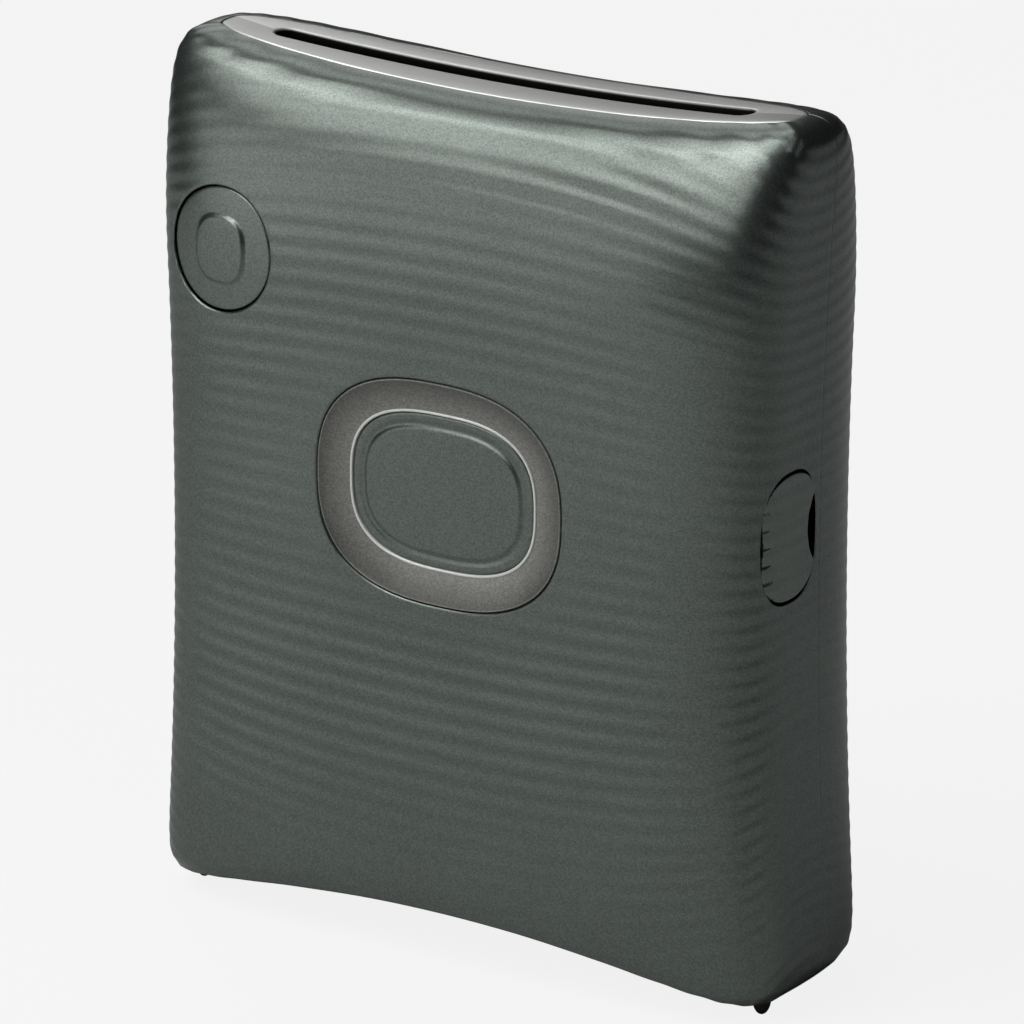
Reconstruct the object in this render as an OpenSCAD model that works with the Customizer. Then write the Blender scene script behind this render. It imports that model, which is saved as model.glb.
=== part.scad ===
// Compact photo printer: a pillow-shaped two-part case round a film chamber and its ejecting rollers.
// Millimetres. X points right as seen from the front, -Y is the front, Z is up, Z = 0 is the table.

/* [Body] */
// Width of the case at its top and foot, before its corners are rounded
body_w = 98; // [94:0.5:104]
// Height of the case without its feet
body_h = 119; // [116:0.5:126]
// Depth of the case in front of its widest plane
front_depth = 16.5; // [16:0.1:18.5]
// Depth of the case behind its widest plane
rear_depth = 24.5; // [23.8:0.1:27]
// Wall thickness of the case
wall = 1.8; // [1.5:0.1:2]
// How far each side is drawn in at mid height
waist = 2.4; // [1:0.1:2.6]
// How far the front face leans back at the top
front_lean = 7.4; // [5:0.1:8]
// How far the rear face leans forward at the top
rear_lean = 9.3; // [6:0.1:10]
// How far the top edge dips between its ends
top_dip = 3.3; // [1:0.1:3.8]
// How far the bottom edge arches between the feet
bottom_arch = 5.3; // [2:0.1:6]
// Squareness of the front corners seen from above
front_square = 6.2; // [5.5:0.1:8]
// Squareness of the rear corners seen from above
rear_square = 3.15; // [3:0.05:4]
// Distance of the case seam behind the widest plane
seam_offset = 2.4; // [1.5:0.1:3]
// Gap between the case and a part that moves in it
move_gap = 0.3; // [0.25:0.05:0.4]
// Gap between the case and a part that is fixed in it
fit_gap = 0.1; // [0.05:0.05:0.15]

/* [Feet] */
// Height of the feet under the case
foot_h = 1; // [0.6:0.1:1.5]
// Radius of a foot
foot_r = 2.2; // [1.8:0.1:2.6]
// Distance of the feet from the sides of the case
foot_in = 6; // [5.5:0.5:9]
// Distance of the front feet in front of the widest plane
foot_front = 9; // [7:0.5:10]
// Distance of the rear feet behind the widest plane
foot_rear = 9; // [7:0.5:10]

/* [Top trim] */
// Distance of the ends of the top trim from the sides of the case
trim_in = 6; // [5:0.5:8]
// Half width of the lens-shaped top trim
trim_b = 5.4; // [4.6:0.1:5.8]
// Distance of the ends of the film slot from the film chamber's walls
slot_in = 2; // [0.5:0.1:2.5]
// Width of the film slot
slot_w = 3; // [2.4:0.1:3.4]
// Wall of the chute below the film slot
chute_wall = 1; // [0.8:0.1:1.2]

/* [Light ring and power button] */
// Height of the ring's centre above the middle of the case
ring_up = 4.9; // [2.5:0.1:6.5]
// Distance of the light ring from the sides of the case
ring_in = 30.1; // [29:0.1:31.5]
// Half height of the light ring
ring_b = 15.8; // [14.5:0.1:17]
// Width of the band of the light ring
ring_band = 4.4; // [3.5:0.1:5]
// Depth of the light ring
ring_depth = 3; // [2.6:0.1:3.4]
// Width of the hidden flange of the light ring
ring_flange = 1.5; // [1:0.1:1.6]
// Width of the bright rim inside the light ring
rim_w = 0.4; // [0.3:0.05:0.6]
// Travel of the power button
power_travel = 0.6; // [0.4:0.1:0.7]
// Thickness of the power button's cap
cap_t = 1.6; // [1.2:0.1:2]

/* [Function button] */
// Distance of the function button's centre from the left side of the case
func_in = 14.5; // [14:0.1:16]
// Distance of the function button's centre below the top of the case
func_down = 27; // [26:0.5:29]
// Radius of the function button
func_r = 8.5; // [7.5:0.1:8.8]
// Radius of the dished middle of the function button
func_dish_r = 4.3; // [3.8:0.1:4.8]
// Travel of the function button
func_travel = 0.6; // [0.4:0.1:0.7]

/* [Port cover] */
// Distance of the port cover's centre in front of the widest plane
port_front = 5; // [4.6:0.1:5.4]
// Height of the port cover's centre above the middle of the case
port_up = 4.9; // [2.5:0.1:7.5]
// Width of the port cover
port_w = 12.1; // [11.4:0.1:12.6]
// Height of the port cover
port_h = 17.6; // [16.5:0.1:19]
// Thickness of the port cover
port_t = 1.3; // [1.2:0.05:1.4]
// Distance of the port cover's hinge behind its front edge
port_hinge_in = 1.15; // [1.05:0.05:1.3]
// Radius of the port cover's barrel
port_barrel_r = 0.95; // [0.9:0.05:1]
// Radius of the port cover's hinge pin
port_pin_r = 0.5; // [0.4:0.05:0.55]
// Length of the port cover's barrel
port_barrel_l = 9; // [7:0.5:9.5]

/* [Film door] */
// Distance of the film door from the sides of the case
door_in = 7; // [6:0.5:8]
// Height of the film door's hinge above the foot of the case
door_hinge_z = 13; // [12:0.5:15]
// Distance of the film door's upper edge below the top of the case
door_down = 17; // [16:0.5:19]
// Radius of the film door's rounded hinge edge
hinge_r = 2; // [1.8:0.1:2.2]
// Radius of the hinge pins of the film door
hinge_pin_r = 0.8; // [0.6:0.05:0.9]
// Distance of each hinge ear from the middle
ear_x = 16.5; // [14:0.5:18]
// Thickness of a hinge ear
ear_t = 3; // [2:0.1:4]
// Length of a hinge pin
hinge_pin_l = 13; // [11:0.5:14]
// Width of the lock's thumb piece
lock_w = 13; // [10:0.5:15]
// Height of the lock's thumb piece
lock_h = 4; // [3.5:0.1:5]
// Travel of the lock
lock_travel = 2.5; // [2:0.1:3]
// Height of the lock's thumb piece below the door's upper edge
lock_drop = 11; // [9:0.5:13]
// Width of the film window
window_w = 5; // [4:0.1:6]
// Height of the film window
window_h = 16; // [12:0.5:20]
// Distance of the film window from the middle
window_x = 22; // [18:0.5:26]

/* [Film chamber] */
// Distance of the film chamber from the sides of the case
chamber_in = 10; // [9.5:0.1:11]
// Height of the case that the film chamber leaves free above and below it
chamber_free = 30; // [29:0.1:31]
// Wall of the film chamber
frame_wall = 1.3; // [1.1:0.1:1.4]
// Thickness of the chamber's floor in front of the film
floor_t = 2; // [1.7:0.1:2.2]
// Distance of the chamber's floor in front of the film
floor_gap = 1.4; // [1:0.1:1.8]
// Distance of the chamber's lower edge above the foot of the case
frame_z = 8.8; // [8.5:0.1:9.2]

/* [Rollers and gears] */
// Radius of the rollers
roller_r = 3.6; // [3.3:0.05:3.8]
// Gap between the two rollers
nip = 0.4; // [0.3:0.05:0.5]
// Distance of the roller axes below the top of the case
roller_down = 10.2; // [9.8:0.1:10.5]
// Radius of the roller shafts
shaft_r = 1.25; // [1:0.05:1.4]
// Running clearance of a shaft in its bore
bore_gap = 0.05; // [0.03:0.01:0.08]
// Thickness of the roller bracket's sheet
sheet_t = 1; // [0.8:0.1:1.2]
// Teeth of each roller gear
roller_teeth = 16; // [14:1:18]
// Teeth of the idler gear
idler_teeth = 17; // [17:1:19]
// Teeth of the motor pinion
pinion_teeth = 10; // [10:1:11]
// Thickness of the gears
gear_t = 2; // [1.6:0.1:2.2]
// Radius of the motor
motor_r = 4.2; // [3.8:0.1:4.3]
// Length of the motor
motor_l = 21; // [16:0.5:24]
// Distance of the motor's axis in front of the film
motor_front = 8.2; // [8.1:0.1:8.4]
// Distance of the motor's axis below the rollers
motor_drop = 13.3; // [13:0.1:13.4]
// Travel of the film claw
claw_travel = 5; // [3:0.5:7]

/* [Boards and battery] */
// Thickness of the circuit boards
board_t = 1.2; // [0.8:0.1:1.4]
// Gap between the battery and the posts on both sides of it
battery_side = 2.6; // [1.6:0.1:7]
// Gap between the battery and the main board above it
battery_above = 3.8; // [2.8:0.1:11]
// Thickness of the battery
battery_t = 5.6; // [5:0.1:5.7]
// Radius of a screw's shank
screw_r = 0.9; // [0.8:0.05:1]
// Radius of a screw's head
screw_head_r = 1.8; // [1.6:0.1:2]
// Height of a screw's head
screw_head_h = 1; // [0.8:0.1:1.2]

/* [Hidden] */
$fn = 48;

// Planes that the rest is placed from
mid_y = (front_depth - rear_depth) / 2;
seam_y = mid_y + seam_offset;
front_y = mid_y - front_depth;
rear_y = mid_y + rear_depth;
mid_z = foot_h + body_h / 2;
half_width = body_w / 2;
body_top = foot_h + body_h;
far = body_w + body_h;

// Outline of the case seen from the front: nearly a rectangle with small round corners
edge_n = 25;
top_round_n = 3.87;
bottom_round_n = 19.4;
lean_from = 0.5;

// Steps of the case's surface
cols_out = 56;
cols_in = 44;
wall_rows = 7;
cap_rows = 5;

// Feet, top trim and film path
foot_x = half_width - foot_in;
trim_a = half_width - trim_in;
chamber_w = body_w - 2 * chamber_in;
chamber_h = body_h - chamber_free;
slot_l = chamber_w - 2 * slot_in;
film_y = mid_y;
floor_back = film_y - floor_gap;
floor_front = floor_back - floor_t;
chassis_z = foot_h + frame_z;
chassis_top = chassis_z + chamber_h + 2 * frame_wall;
chassis_x = chamber_w / 2 + frame_wall;
chassis_d = 12.5;
chassis_rear = film_y + chassis_d;

// Light ring
ring_cz = mid_z + ring_up;
ring_a = half_width - ring_in;
ring_n = 2.4;
ring_back = front_y + ring_depth;
flange_front = front_y + wall;
rim_a = ring_a - ring_band;
rim_b = ring_b - ring_band;
key_gap = 0.25;
key_a = rim_a - rim_w - key_gap;
key_b = rim_b - rim_w - key_gap;
light_board_y = front_y + 5;
light_board_a = ring_a + 4.1;
light_board_b = ring_b + 3.7;
light_post_in = 2.2;
light_posts = [for (sx = [-1, 1], sz = [-1, 1])
    [sx * (light_board_a - light_post_in), ring_cz + sz * (light_board_b - light_post_in)]];
stem_r = 2.4;
switch_h = 1.4;
switch_w = 5;

// Function button
func_cx = func_in - half_width;
func_cz = body_top - func_down;
func_board_y = front_y + 6;
func_board = [17.5, 20.5];
func_board_at = [func_cx + 2.25, func_cz - 1.7];
func_posts = [[func_cx + 8.8, func_cz + 6.2], [func_cx - 4.5, func_cz - 9.6]];
post_r = 2;

// Port cover on the right side
port_cy = mid_y - port_front;
port_cz = mid_z + port_up;
port_x = half_w(port_cz, 0);
port_axis_y = port_cy - port_w / 2 + port_hinge_in;
port_axis_x = port_x - port_barrel_r - 0.1;
port_sweep_r = 1.8;
port_relief_r = 1.1;
port_relief_l = 15;
port_floor_x = port_x - port_t - 1.3;
pad_x = port_floor_x - 0.8;
pad_margin = 2;
socket_size = [6.7, 3.2, 8.8];
socket_x = pad_x - 0.2;
socket_margin = [0.5, 0.7];
pin_overlap = 3.8;

// Film door
hinge_y = rear_y - hinge_r - 0.1;
hinge_z = foot_h + door_hinge_z;
door_top = body_top - door_down;
door_w = body_w - 2 * door_in;
door_front = film_y + 6;
lock_z = door_top - lock_drop;
lock_y = rear_skin_y(door_top + lock_travel, wall) - 1.4;
tongue_w = lock_w - 4;
tongue_t = 1.3;
window_z = hinge_z + (door_top - hinge_z) * 0.6;

// Rollers, gears and motor
roller_y = [film_y - roller_r - nip / 2, film_y + roller_r + nip / 2];
roller_cz = body_top - roller_down;
gear_m = (2 * roller_r + nip) / roller_teeth;
cheek_x = chassis_x + 0.2;
roller_l = 2 * cheek_x - 2 * move_gap;
gear_x = cheek_x + sheet_t + move_gap;
motor_at = [film_y - motor_front, roller_cz - motor_drop];
drive_at = [roller_y[0], roller_cz];
idler_at = meet(drive_at, motor_at, gear_m * (roller_teeth + idler_teeth) / 2,
                gear_m * (idler_teeth + pinion_teeth) / 2);
idler_phase = mesh_phase(0, roller_teeth, idler_teeth, bearing(drive_at, idler_at));
pinion_phase = mesh_phase(idler_phase, idler_teeth, pinion_teeth, bearing(idler_at, motor_at));
pin_r = 1;
shelf_z = chassis_top + 0.3;
shelf_y = [film_y - 11, film_y - 4.2];
motor_end = cheek_x - motor_l;
bracket_lugs = [10.3 - chassis_x, motor_end - 7.5];
lug_size = [8, 4.4, 3.8];
lug_y = floor_front - lug_size[1] / 2;
head_h = 2.7;
head_in = 3.5;

// Boards, battery and posts
board_y = floor_front - 1;
board_front = board_y - board_t;
board_x = [-chassis_x + 2.3, socket_x - 0.2];
board_z = [port_cz - 9.4, chassis_top - 12.4];
board_posts = [for (s = [-1, 1], z = [board_z[0] + 4, board_z[1] - 4]) [s * (chassis_x - 6.3), z]];
chips = [[10, 10, 7, 6, 1.1], [22, 12, 12, 12, 1.2], [42, 14, 10, 8, 1]];
frame_post_r = 2.4;
frame_posts = concat([for (s = [-1, 1]) [s * (chassis_x - 5.3), chassis_z + 8]],
                     [for (x = [func_board_at[0] + func_board[0] / 2 + 5.5, motor_end - 11.5])
                         [x, chassis_top - 7]]);
battery_z = chassis_z + 4.4;
battery_h = board_z[0] - battery_above - battery_z;
battery_w = 2 * (frame_posts[1][0] - frame_post_r - battery_side);
case_posts = [for (s = [-1, 1]) [s * (half_width - 6.6), foot_h + 6.6]];
case_post_r = 2.2;
case_head_y = seam_y + 3.4;

// Length of the part of a circle's radius in a superellipse direction
function ray(a, n) = pow(pow(abs(cos(a)), n) + pow(abs(sin(a)), n), -1 / n);

// Height of a point between -1 at the foot of the case and 1 at its top
function level(z) = (z - mid_z) / (body_h / 2);

// Half width of the case at a height, less an inward offset
function half_w(z, off) = body_w / 2 - off - waist * (1 - pow(level(z), 2));

// How much of the lean applies at a level
function lean_at(v) = pow(max(0, (v - lean_from) / (1 - lean_from)), 2);

// Rear face of the case at its middle
function rear_skin_y(z, off) = mid_y + rear_depth - off - rear_lean * lean_at(level(z));

// Underside or top of the case over a point of its width, less an inward offset
function top_z(x, off) = mid_z + body_h / 2 - off - top_dip * (1 - pow(2 * x / body_w, 2));
function bottom_z(x, off) = foot_h + off + bottom_arch * (1 - pow(2 * x / body_w, 2));

// Point of the case's surface in the direction t up from the middle and u round the plan
function skin_point(t, u, off) =
    let (rv = ray(t, edge_n), v = rv * sin(t), ex = rv * cos(t))
    let (ey = pow(ex, edge_n / (t > 0 ? top_round_n : bottom_round_n)))
    let (ru = ray(u, sin(u) < 0 ? front_square : rear_square))
    let (half = ex * (body_w / 2 - off - waist * (1 - v * v)))
    let (front = ey * (front_depth - off - front_lean * lean_at(v)))
    let (rear = ey * (rear_depth - off - rear_lean * lean_at(v)))
    let (x = half * ru * cos(u), y = ru * sin(u) * (sin(u) < 0 ? front : rear))
    let (bend = (t > 0 ? top_dip : bottom_arch) * (1 - pow(2 * x / body_w, 2)))
    [x, mid_y + y, mid_z + v * (body_h / 2 - off - bend * pow(abs(v), 3))];

// Directions of the rows of points, close together at the rounded edges
function rows(s) = concat(
    [for (i = [cap_rows - 1:-1:1]) -s * (45 + 45 * pow(i / cap_rows, 1.8))],
    [for (i = [wall_rows:-1:1]) -s * 45 * (1 - pow(1 - i / wall_rows, 1.8))],
    [for (i = [0:wall_rows]) s * 45 * (1 - pow(1 - i / wall_rows, 1.8))],
    [for (i = [1:cap_rows - 1]) s * (45 + 45 * pow(i / cap_rows, 1.8))]);

// Points of a superellipse
function oval(a, b, n) = [for (u = [0:360 / 72:359]) [a * ray(u, n) * cos(u), b * ray(u, n) * sin(u)]];

// Direction from one axis to another, and the third axis that lies at the two given distances
function bearing(p, q) = atan2(q[1] - p[1], q[0] - p[0]);
function meet(p, q, rp, rq) =
    let (d = norm(q - p), a = (rp * rp - rq * rq + d * d) / (2 * d))
    let (h = sqrt(max(0, rp * rp - a * a)), e = (q - p) / d)
    p + a * e + h * [-e[1], e[0]];

// Turn of a gear that puts its gap on the tooth of the gear it meshes with
function mesh_phase(phase, teeth, other, dir) =
    dir + 180 - (phase - dir) * teeth / other + 180 / other;

// Outline of a gear: root, flank and tip points of every tooth
function gear_points(teeth, phase) =
    let (r = gear_m * teeth / 2, q = 90 / teeth)
    let (side = [[r - 1.15 * gear_m, -1.3], [r, -0.86], [r + 0.8 * gear_m, -0.4],
                 [r + 0.8 * gear_m, 0.4], [r, 0.86], [r - 1.15 * gear_m, 1.3]])
    [for (k = [0:teeth - 1], s = side)
        let (a = phase + 360 * k / teeth + q * s[1]) s[0] * [cos(a), sin(a)]];

// Closed surface of the case, moved inward by an offset
module pillow(off, cols) {
    levels = rows(1);
    rings = len(levels);
    step = 360 / cols;
    ring_points = [for (t = levels, c = [0:cols - 1]) skin_point(t, c * step, off)];
    ends = [skin_point(-90, 0, off), skin_point(90, 0, off)];
    low = rings * cols;
    sides = [for (r = [0:rings - 2], c = [0:cols - 1], h = [0, 1])
        let (a = r * cols + c, b = r * cols + (c + 1) % cols)
        h == 0 ? [a, b + cols, b] : [a, a + cols, b + cols]];
    lids = [for (c = [0:cols - 1], h = [0, 1])
        let (d = (c + 1) % cols, top = (rings - 1) * cols)
        h == 0 ? [low, c, d] : [low + 1, top + d, top + c]];
    polyhedron(points = concat(ring_points, ends), faces = concat(sides, lids), convexity = 6);
}

// Box between two corners
module block(low, high) {
    translate(low) cube(high - low);
}

// Half of space in front of or behind the seam
module front_of_seam() {
    block([-far, -far, -far], [far, seam_y, far]);
}
module behind_seam() {
    block([-far, seam_y, -far], [far, far, far]);
}

// Child outline drawn in X and Z, thick from y0 back to y1
module facing_front(y0, y1) {
    translate([0, y1, 0]) rotate([90, 0, 0]) linear_extrude(y1 - y0) children();
}

// Child outline drawn in Y and Z, thick from x0 to x1
module facing_side(x0, x1) {
    translate([x0, 0, 0]) rotate([90, 0, 90]) linear_extrude(x1 - x0) children();
}

// Round bar along X or along Y
module bar_x(at, r, x0, x1) {
    translate([x0, at[0], at[1]]) rotate([0, 90, 0]) cylinder(r = r, h = x1 - x0);
}
module bar_y(at, r, y0, y1) {
    translate([at[0], y1, at[1]]) rotate([90, 0, 0]) cylinder(r = r, h = y1 - y0);
}

// Round bar along Z centred on a height
module bar_z(at, r, cz, length) {
    translate([at[0], at[1], cz - length / 2]) cylinder(r = r, h = length);
}

// Ring-shaped outline on the front face, grown by a margin
module ring_outline(a, b, margin) {
    translate([0, ring_cz]) polygon(oval(a + margin, b + margin, ring_n));
}

// Lens-shaped column through the top, grown by a margin
module trim_column(margin) {
    translate([0, film_y, top_z(0, 0) - 6]) linear_extrude(12)
        polygon(oval(trim_a + margin, trim_b + margin, 1.75));
}

// Oblong column through the right side, grown by a margin
module port_column(margin, x0) {
    r = port_w / 2 + margin;
    s = port_h / 2 - port_w / 2;
    facing_side(x0, x0 + 12) {
        translate([port_cy, port_cz - s]) circle(r = r);
        translate([port_cy, port_cz + s]) circle(r = r);
        translate([port_cy - r, port_cz - s]) square([2 * r, 2 * s]);
    }
}

// Space that the film door fills, grown by a margin
module door_space(margin) {
    x = door_w / 2 + margin;
    low = hinge_z - hinge_r - margin;
    if (margin > 0) {
        block([-x, door_front, low], [x, far, door_top + margin]);
    } else {
        block([-x, door_front, low], [x, hinge_y, door_top]);
        block([-x, door_front, hinge_z], [x, far, door_top]);
        bar_x([hinge_y, hinge_z], hinge_r, -x, x);
    }
}

// Slots in the film door's hinge edge that the ears stand in
module ear_slots() {
    for (s = [-1, 1]) {
        x = s * ear_x - ear_t / 2 - move_gap;
        block([x, hinge_y - hinge_r - move_gap, hinge_z - 2 * hinge_r],
              [x + ear_t + 2 * move_gap, far, hinge_z + hinge_r + move_gap]);
    }
}

// Pan-head screw along -Y with its head's underside at y
module screw_y(at, y, length) {
    bar_y(at, screw_r, y - length, y);
    bar_y(at, screw_head_r, y, y + screw_head_h);
}

module front_shell() {
    color([0.33, 0.36, 0.34]) difference() {
        intersection() {
            pillow(0, cols_out);
            front_of_seam();
        }
        difference() {
            pillow(wall, cols_in);
            for (p = frame_posts) bar_y(p, frame_post_r, front_y, floor_front);
            for (p = case_posts) bar_y(p, case_post_r, front_y, seam_y);
            for (p = func_posts) bar_y(p, post_r, front_y, func_board_y);
            for (p = light_posts) bar_y(p, post_r, front_y, light_board_y);
            block([pad_x, port_cy - port_w / 2 - pad_margin, port_cz - port_h / 2 - pad_margin],
                  [far, port_cy + port_w / 2 + 1, port_cz + port_h / 2 + pad_margin]);
        }
        trim_column(fit_gap);
        facing_front(front_y - 1, flange_front + 1) ring_outline(ring_a, ring_b, fit_gap);
        bar_y([func_cx, func_cz], func_r + key_gap, front_y - 1, func_board_y - 0.5);
        port_column(move_gap, port_floor_x);
        bar_z([port_axis_x, port_axis_y], port_sweep_r + 0.1, port_cz, port_barrel_l + 2 * move_gap);
        bar_z([port_axis_x, port_axis_y], port_relief_r, port_cz, port_relief_l);
        bar_z([port_axis_x, port_axis_y], port_pin_r, port_cz, port_barrel_l + 2 * pin_overlap);
        plug_space(pad_x - 1, far);
        for (p = frame_posts) bar_y(p, screw_r, floor_front - 6, floor_front + 1);
        for (p = case_posts) bar_y(p, screw_r, seam_y - 7, seam_y + 1);
        for (p = func_posts) bar_y(p, screw_r, func_board_y - 2, func_board_y + 1);
        for (p = light_posts) bar_y(p, screw_r, light_board_y - 2.4, light_board_y + 1);
        foot_pockets(-1);
    }
}

// Window in the side wall that a plug goes through to the socket
module plug_space(x0, x1) {
    half = socket_size[2] / 2 + socket_margin[1];
    block([x0, board_front - socket_size[1] - socket_margin[0], port_cz - half],
          [x1, board_front + socket_margin[0], port_cz + half]);
}

// Height of the top of a foot, sunk in its pocket
function foot_top() = bottom_z(foot_x, 0.9);
function foot_y(s) = s < 0 ? mid_y - foot_front : mid_y + foot_rear;

module foot_pockets(s) {
    for (sx = [-1, 1])
        translate([sx * foot_x, foot_y(s), -1]) cylinder(r = foot_r + fit_gap, h = foot_top() + 1);
}

module foot(sx, s) {
    color([0.12, 0.12, 0.12]) translate([sx * foot_x, foot_y(s), 0]) {
        translate([0, 0, 0.4]) cylinder(r = foot_r, h = foot_top() - 0.4);
        cylinder(r1 = foot_r - 0.4, r2 = foot_r, h = 0.4);
    }
}

module rear_shell() {
    ear_low = hinge_z - hinge_r - 4;
    color([0.33, 0.36, 0.34]) difference() {
        union() {
            difference() {
                intersection() {
                    pillow(0, cols_out);
                    behind_seam();
                }
                difference() {
                    pillow(wall, cols_in);
                    for (p = case_posts) bar_y(p, case_post_r, seam_y, rear_y);
                }
                door_space(move_gap);
            }
            for (s = [-1, 1]) {
                bar_x([hinge_y, hinge_z], hinge_r - 0.1, s * ear_x - ear_t / 2, s * ear_x + ear_t / 2);
                block([s * ear_x - ear_t / 2, hinge_y - hinge_r + 0.1, ear_low],
                      [s * ear_x + ear_t / 2, hinge_y + 0.4, hinge_z]);
            }
        }
        trim_column(fit_gap);
        for (p = case_posts) {
            bar_y(p, screw_r + 0.15, seam_y - 1, far);
            bar_y(p, screw_head_r + 0.15, case_head_y, far);
        }
        bar_x([hinge_y, hinge_z], hinge_pin_r, -ear_x - ear_t, -ear_x + ear_t);
        bar_x([hinge_y, hinge_z], hinge_pin_r, ear_x - ear_t, ear_x + ear_t);
        foot_pockets(1);
    }
}

module top_trim() {
    low = roller_cz + roller_r + 2 * move_gap;
    color([0.75, 0.76, 0.74]) difference() {
        union() {
            difference() {
                intersection() {
                    pillow(0, cols_out);
                    trim_column(0);
                }
                pillow(wall, cols_in);
            }
            intersection() {
                pillow(wall / 2, cols_in);
                trim_column(0);
                block([-slot_l / 2 - chute_wall, film_y - slot_w / 2 - chute_wall, low],
                      [slot_l / 2 + chute_wall, film_y + slot_w / 2 + chute_wall, far]);
            }
        }
        block([-slot_l / 2 + slot_w / 2, film_y - slot_w / 2, low - 1],
              [slot_l / 2 - slot_w / 2, film_y + slot_w / 2, far]);
        for (s = [-1, 1])
            translate([s * (slot_l - slot_w) / 2, film_y, low - 1]) cylinder(r = slot_w / 2, h = far);
    }
}

module light_ring() {
    color([0.44, 0.44, 0.42]) difference() {
        union() {
            facing_front(front_y, ring_back) ring_outline(ring_a, ring_b, 0);
            facing_front(flange_front + 0.05, ring_back) ring_outline(ring_a, ring_b, ring_flange);
        }
        facing_front(front_y - 1, ring_back + 1) ring_outline(rim_a, rim_b, 0);
    }
}

module bright_rim() {
    color([0.9, 0.9, 0.88]) difference() {
        facing_front(front_y, ring_back) ring_outline(rim_a, rim_b, 0);
        facing_front(front_y - 1, ring_back + 1) ring_outline(rim_a, rim_b, -rim_w);
    }
}

module power_button() {
    stem_end = light_board_y - switch_h - move_gap / 2;
    color([0.33, 0.36, 0.34]) {
        facing_front(front_y, front_y + cap_t) ring_outline(key_a, key_b, 0);
        bar_y([0, ring_cz], stem_r, front_y + cap_t, stem_end - power_travel);
    }
}

module function_button() {
    stem_end = func_board_y - switch_h - move_gap / 2;
    color([0.34, 0.37, 0.35]) difference() {
        union() {
            difference() {
                intersection() {
                    pillow(0, cols_out);
                    bar_y([func_cx, func_cz], func_r, front_y - 1, front_y + 6);
                }
                pillow(wall, cols_in);
            }
            bar_y([func_cx, func_cz], stem_r, front_y + wall / 2, stem_end - func_travel);
        }
        bar_y([func_cx, func_cz], func_dish_r, front_y - 1, front_y + 0.7);
    }
}

module port_cover() {
    notch_r = 8.4;
    notch_d = 1.3;
    color([0.36, 0.38, 0.36]) difference() {
        union() {
            difference() {
                intersection() {
                    pillow(0, cols_out);
                    port_column(0, port_x - 6);
                    block([0, port_axis_y - 0.9, 0], [far, 0, far]);
                }
                pillow(port_t, cols_in);
            }
            bar_z([port_axis_x, port_axis_y], port_barrel_r, port_cz, port_barrel_l);
        }
        bar_z([port_axis_x, port_axis_y], port_pin_r + bore_gap, port_cz, port_h);
        translate([port_x + 2.6, port_cy + port_w / 2 + notch_r - notch_d, port_cz])
            rotate([0, -90, 0]) cylinder(r = notch_r, h = 8);
    }
}

module port_pin() {
    color([0.7, 0.7, 0.7])
        bar_z([port_axis_x, port_axis_y], port_pin_r, port_cz, port_barrel_l + 2 * pin_overlap);
}

module film_door() {
    color([0.33, 0.36, 0.34]) difference() {
        intersection() {
            pillow(0, cols_out);
            door_space(0);
        }
        difference() {
            pillow(wall, cols_in);
            bar_x([hinge_y, hinge_z], hinge_r, -door_w / 3, door_w / 3);
            for (s = [-1, 1]) bar_y([s * 8, mid_z], 2.5, spring_y(), rear_y);
        }
        ear_slots();
        for (s = [-1, 1])
            bar_x([hinge_y, hinge_z], hinge_pin_r + bore_gap, s * ear_x - hinge_pin_l / 2 - 0.2,
                  s * ear_x + hinge_pin_l / 2 + 0.2);
        facing_front(lock_y, far) lock_outline(move_gap, lock_travel);
        facing_front(film_y, far) window_outline(fit_gap / 2);
    }
}

function spring_y() = rear_y - wall - 1.1;

// Outline of the lock's thumb piece, with room above it for its travel
module lock_outline(margin, travel) {
    translate([-lock_w / 2 - margin, lock_z - margin])
        square([lock_w + 2 * margin, lock_h + travel + 2 * margin]);
}

module window_outline(margin) {
    r = window_w / 2 + margin;
    s = window_h / 2 - window_w / 2;
    translate([-window_x, window_z - s]) circle(r = r);
    translate([-window_x, window_z + s]) circle(r = r);
    translate([-window_x - r, window_z - s]) square([2 * r, 2 * s]);
}

module film_window() {
    color([0.5, 0.45, 0.25, 0.6]) difference() {
        intersection() {
            pillow(0, cols_out);
            facing_front(film_y, far) window_outline(0);
        }
        pillow(wall, cols_in);
    }
}

module door_lock() {
    color([0.2, 0.22, 0.21]) {
        intersection() {
            pillow(0, cols_out);
            facing_front(lock_y - tongue_t, far) lock_outline(0, 0);
        }
        block([-tongue_w / 2, lock_y - tongue_t, lock_z],
              [tongue_w / 2, lock_y, door_top - move_gap]);
    }
}

module door_pin(s) {
    color([0.7, 0.7, 0.7])
        bar_x([hinge_y, hinge_z], hinge_pin_r, s * ear_x - hinge_pin_l / 2, s * ear_x + hinge_pin_l / 2);
}

module pressure_spring() {
    t = 0.4;
    y = spring_y();
    reach = 7;
    base = 8;
    arm = 22;
    color([0.75, 0.75, 0.72]) difference() {
        facing_side(-12, 12)
            polygon([[y, mid_z - base], [y, mid_z + base],
                     [y - reach, mid_z + arm], [y - reach - t, mid_z + arm],
                     [y - t, mid_z + base - 0.2], [y - t, mid_z - base + 0.2],
                     [y - reach - t, mid_z - arm], [y - reach, mid_z - arm]]);
        for (s = [-1, 1])
            block([-5, y - reach - 1, mid_z + min(s * base, s * (arm + 1))],
                  [5, y + 1, mid_z + max(s * base, s * (arm + 1))]);
    }
}

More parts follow.
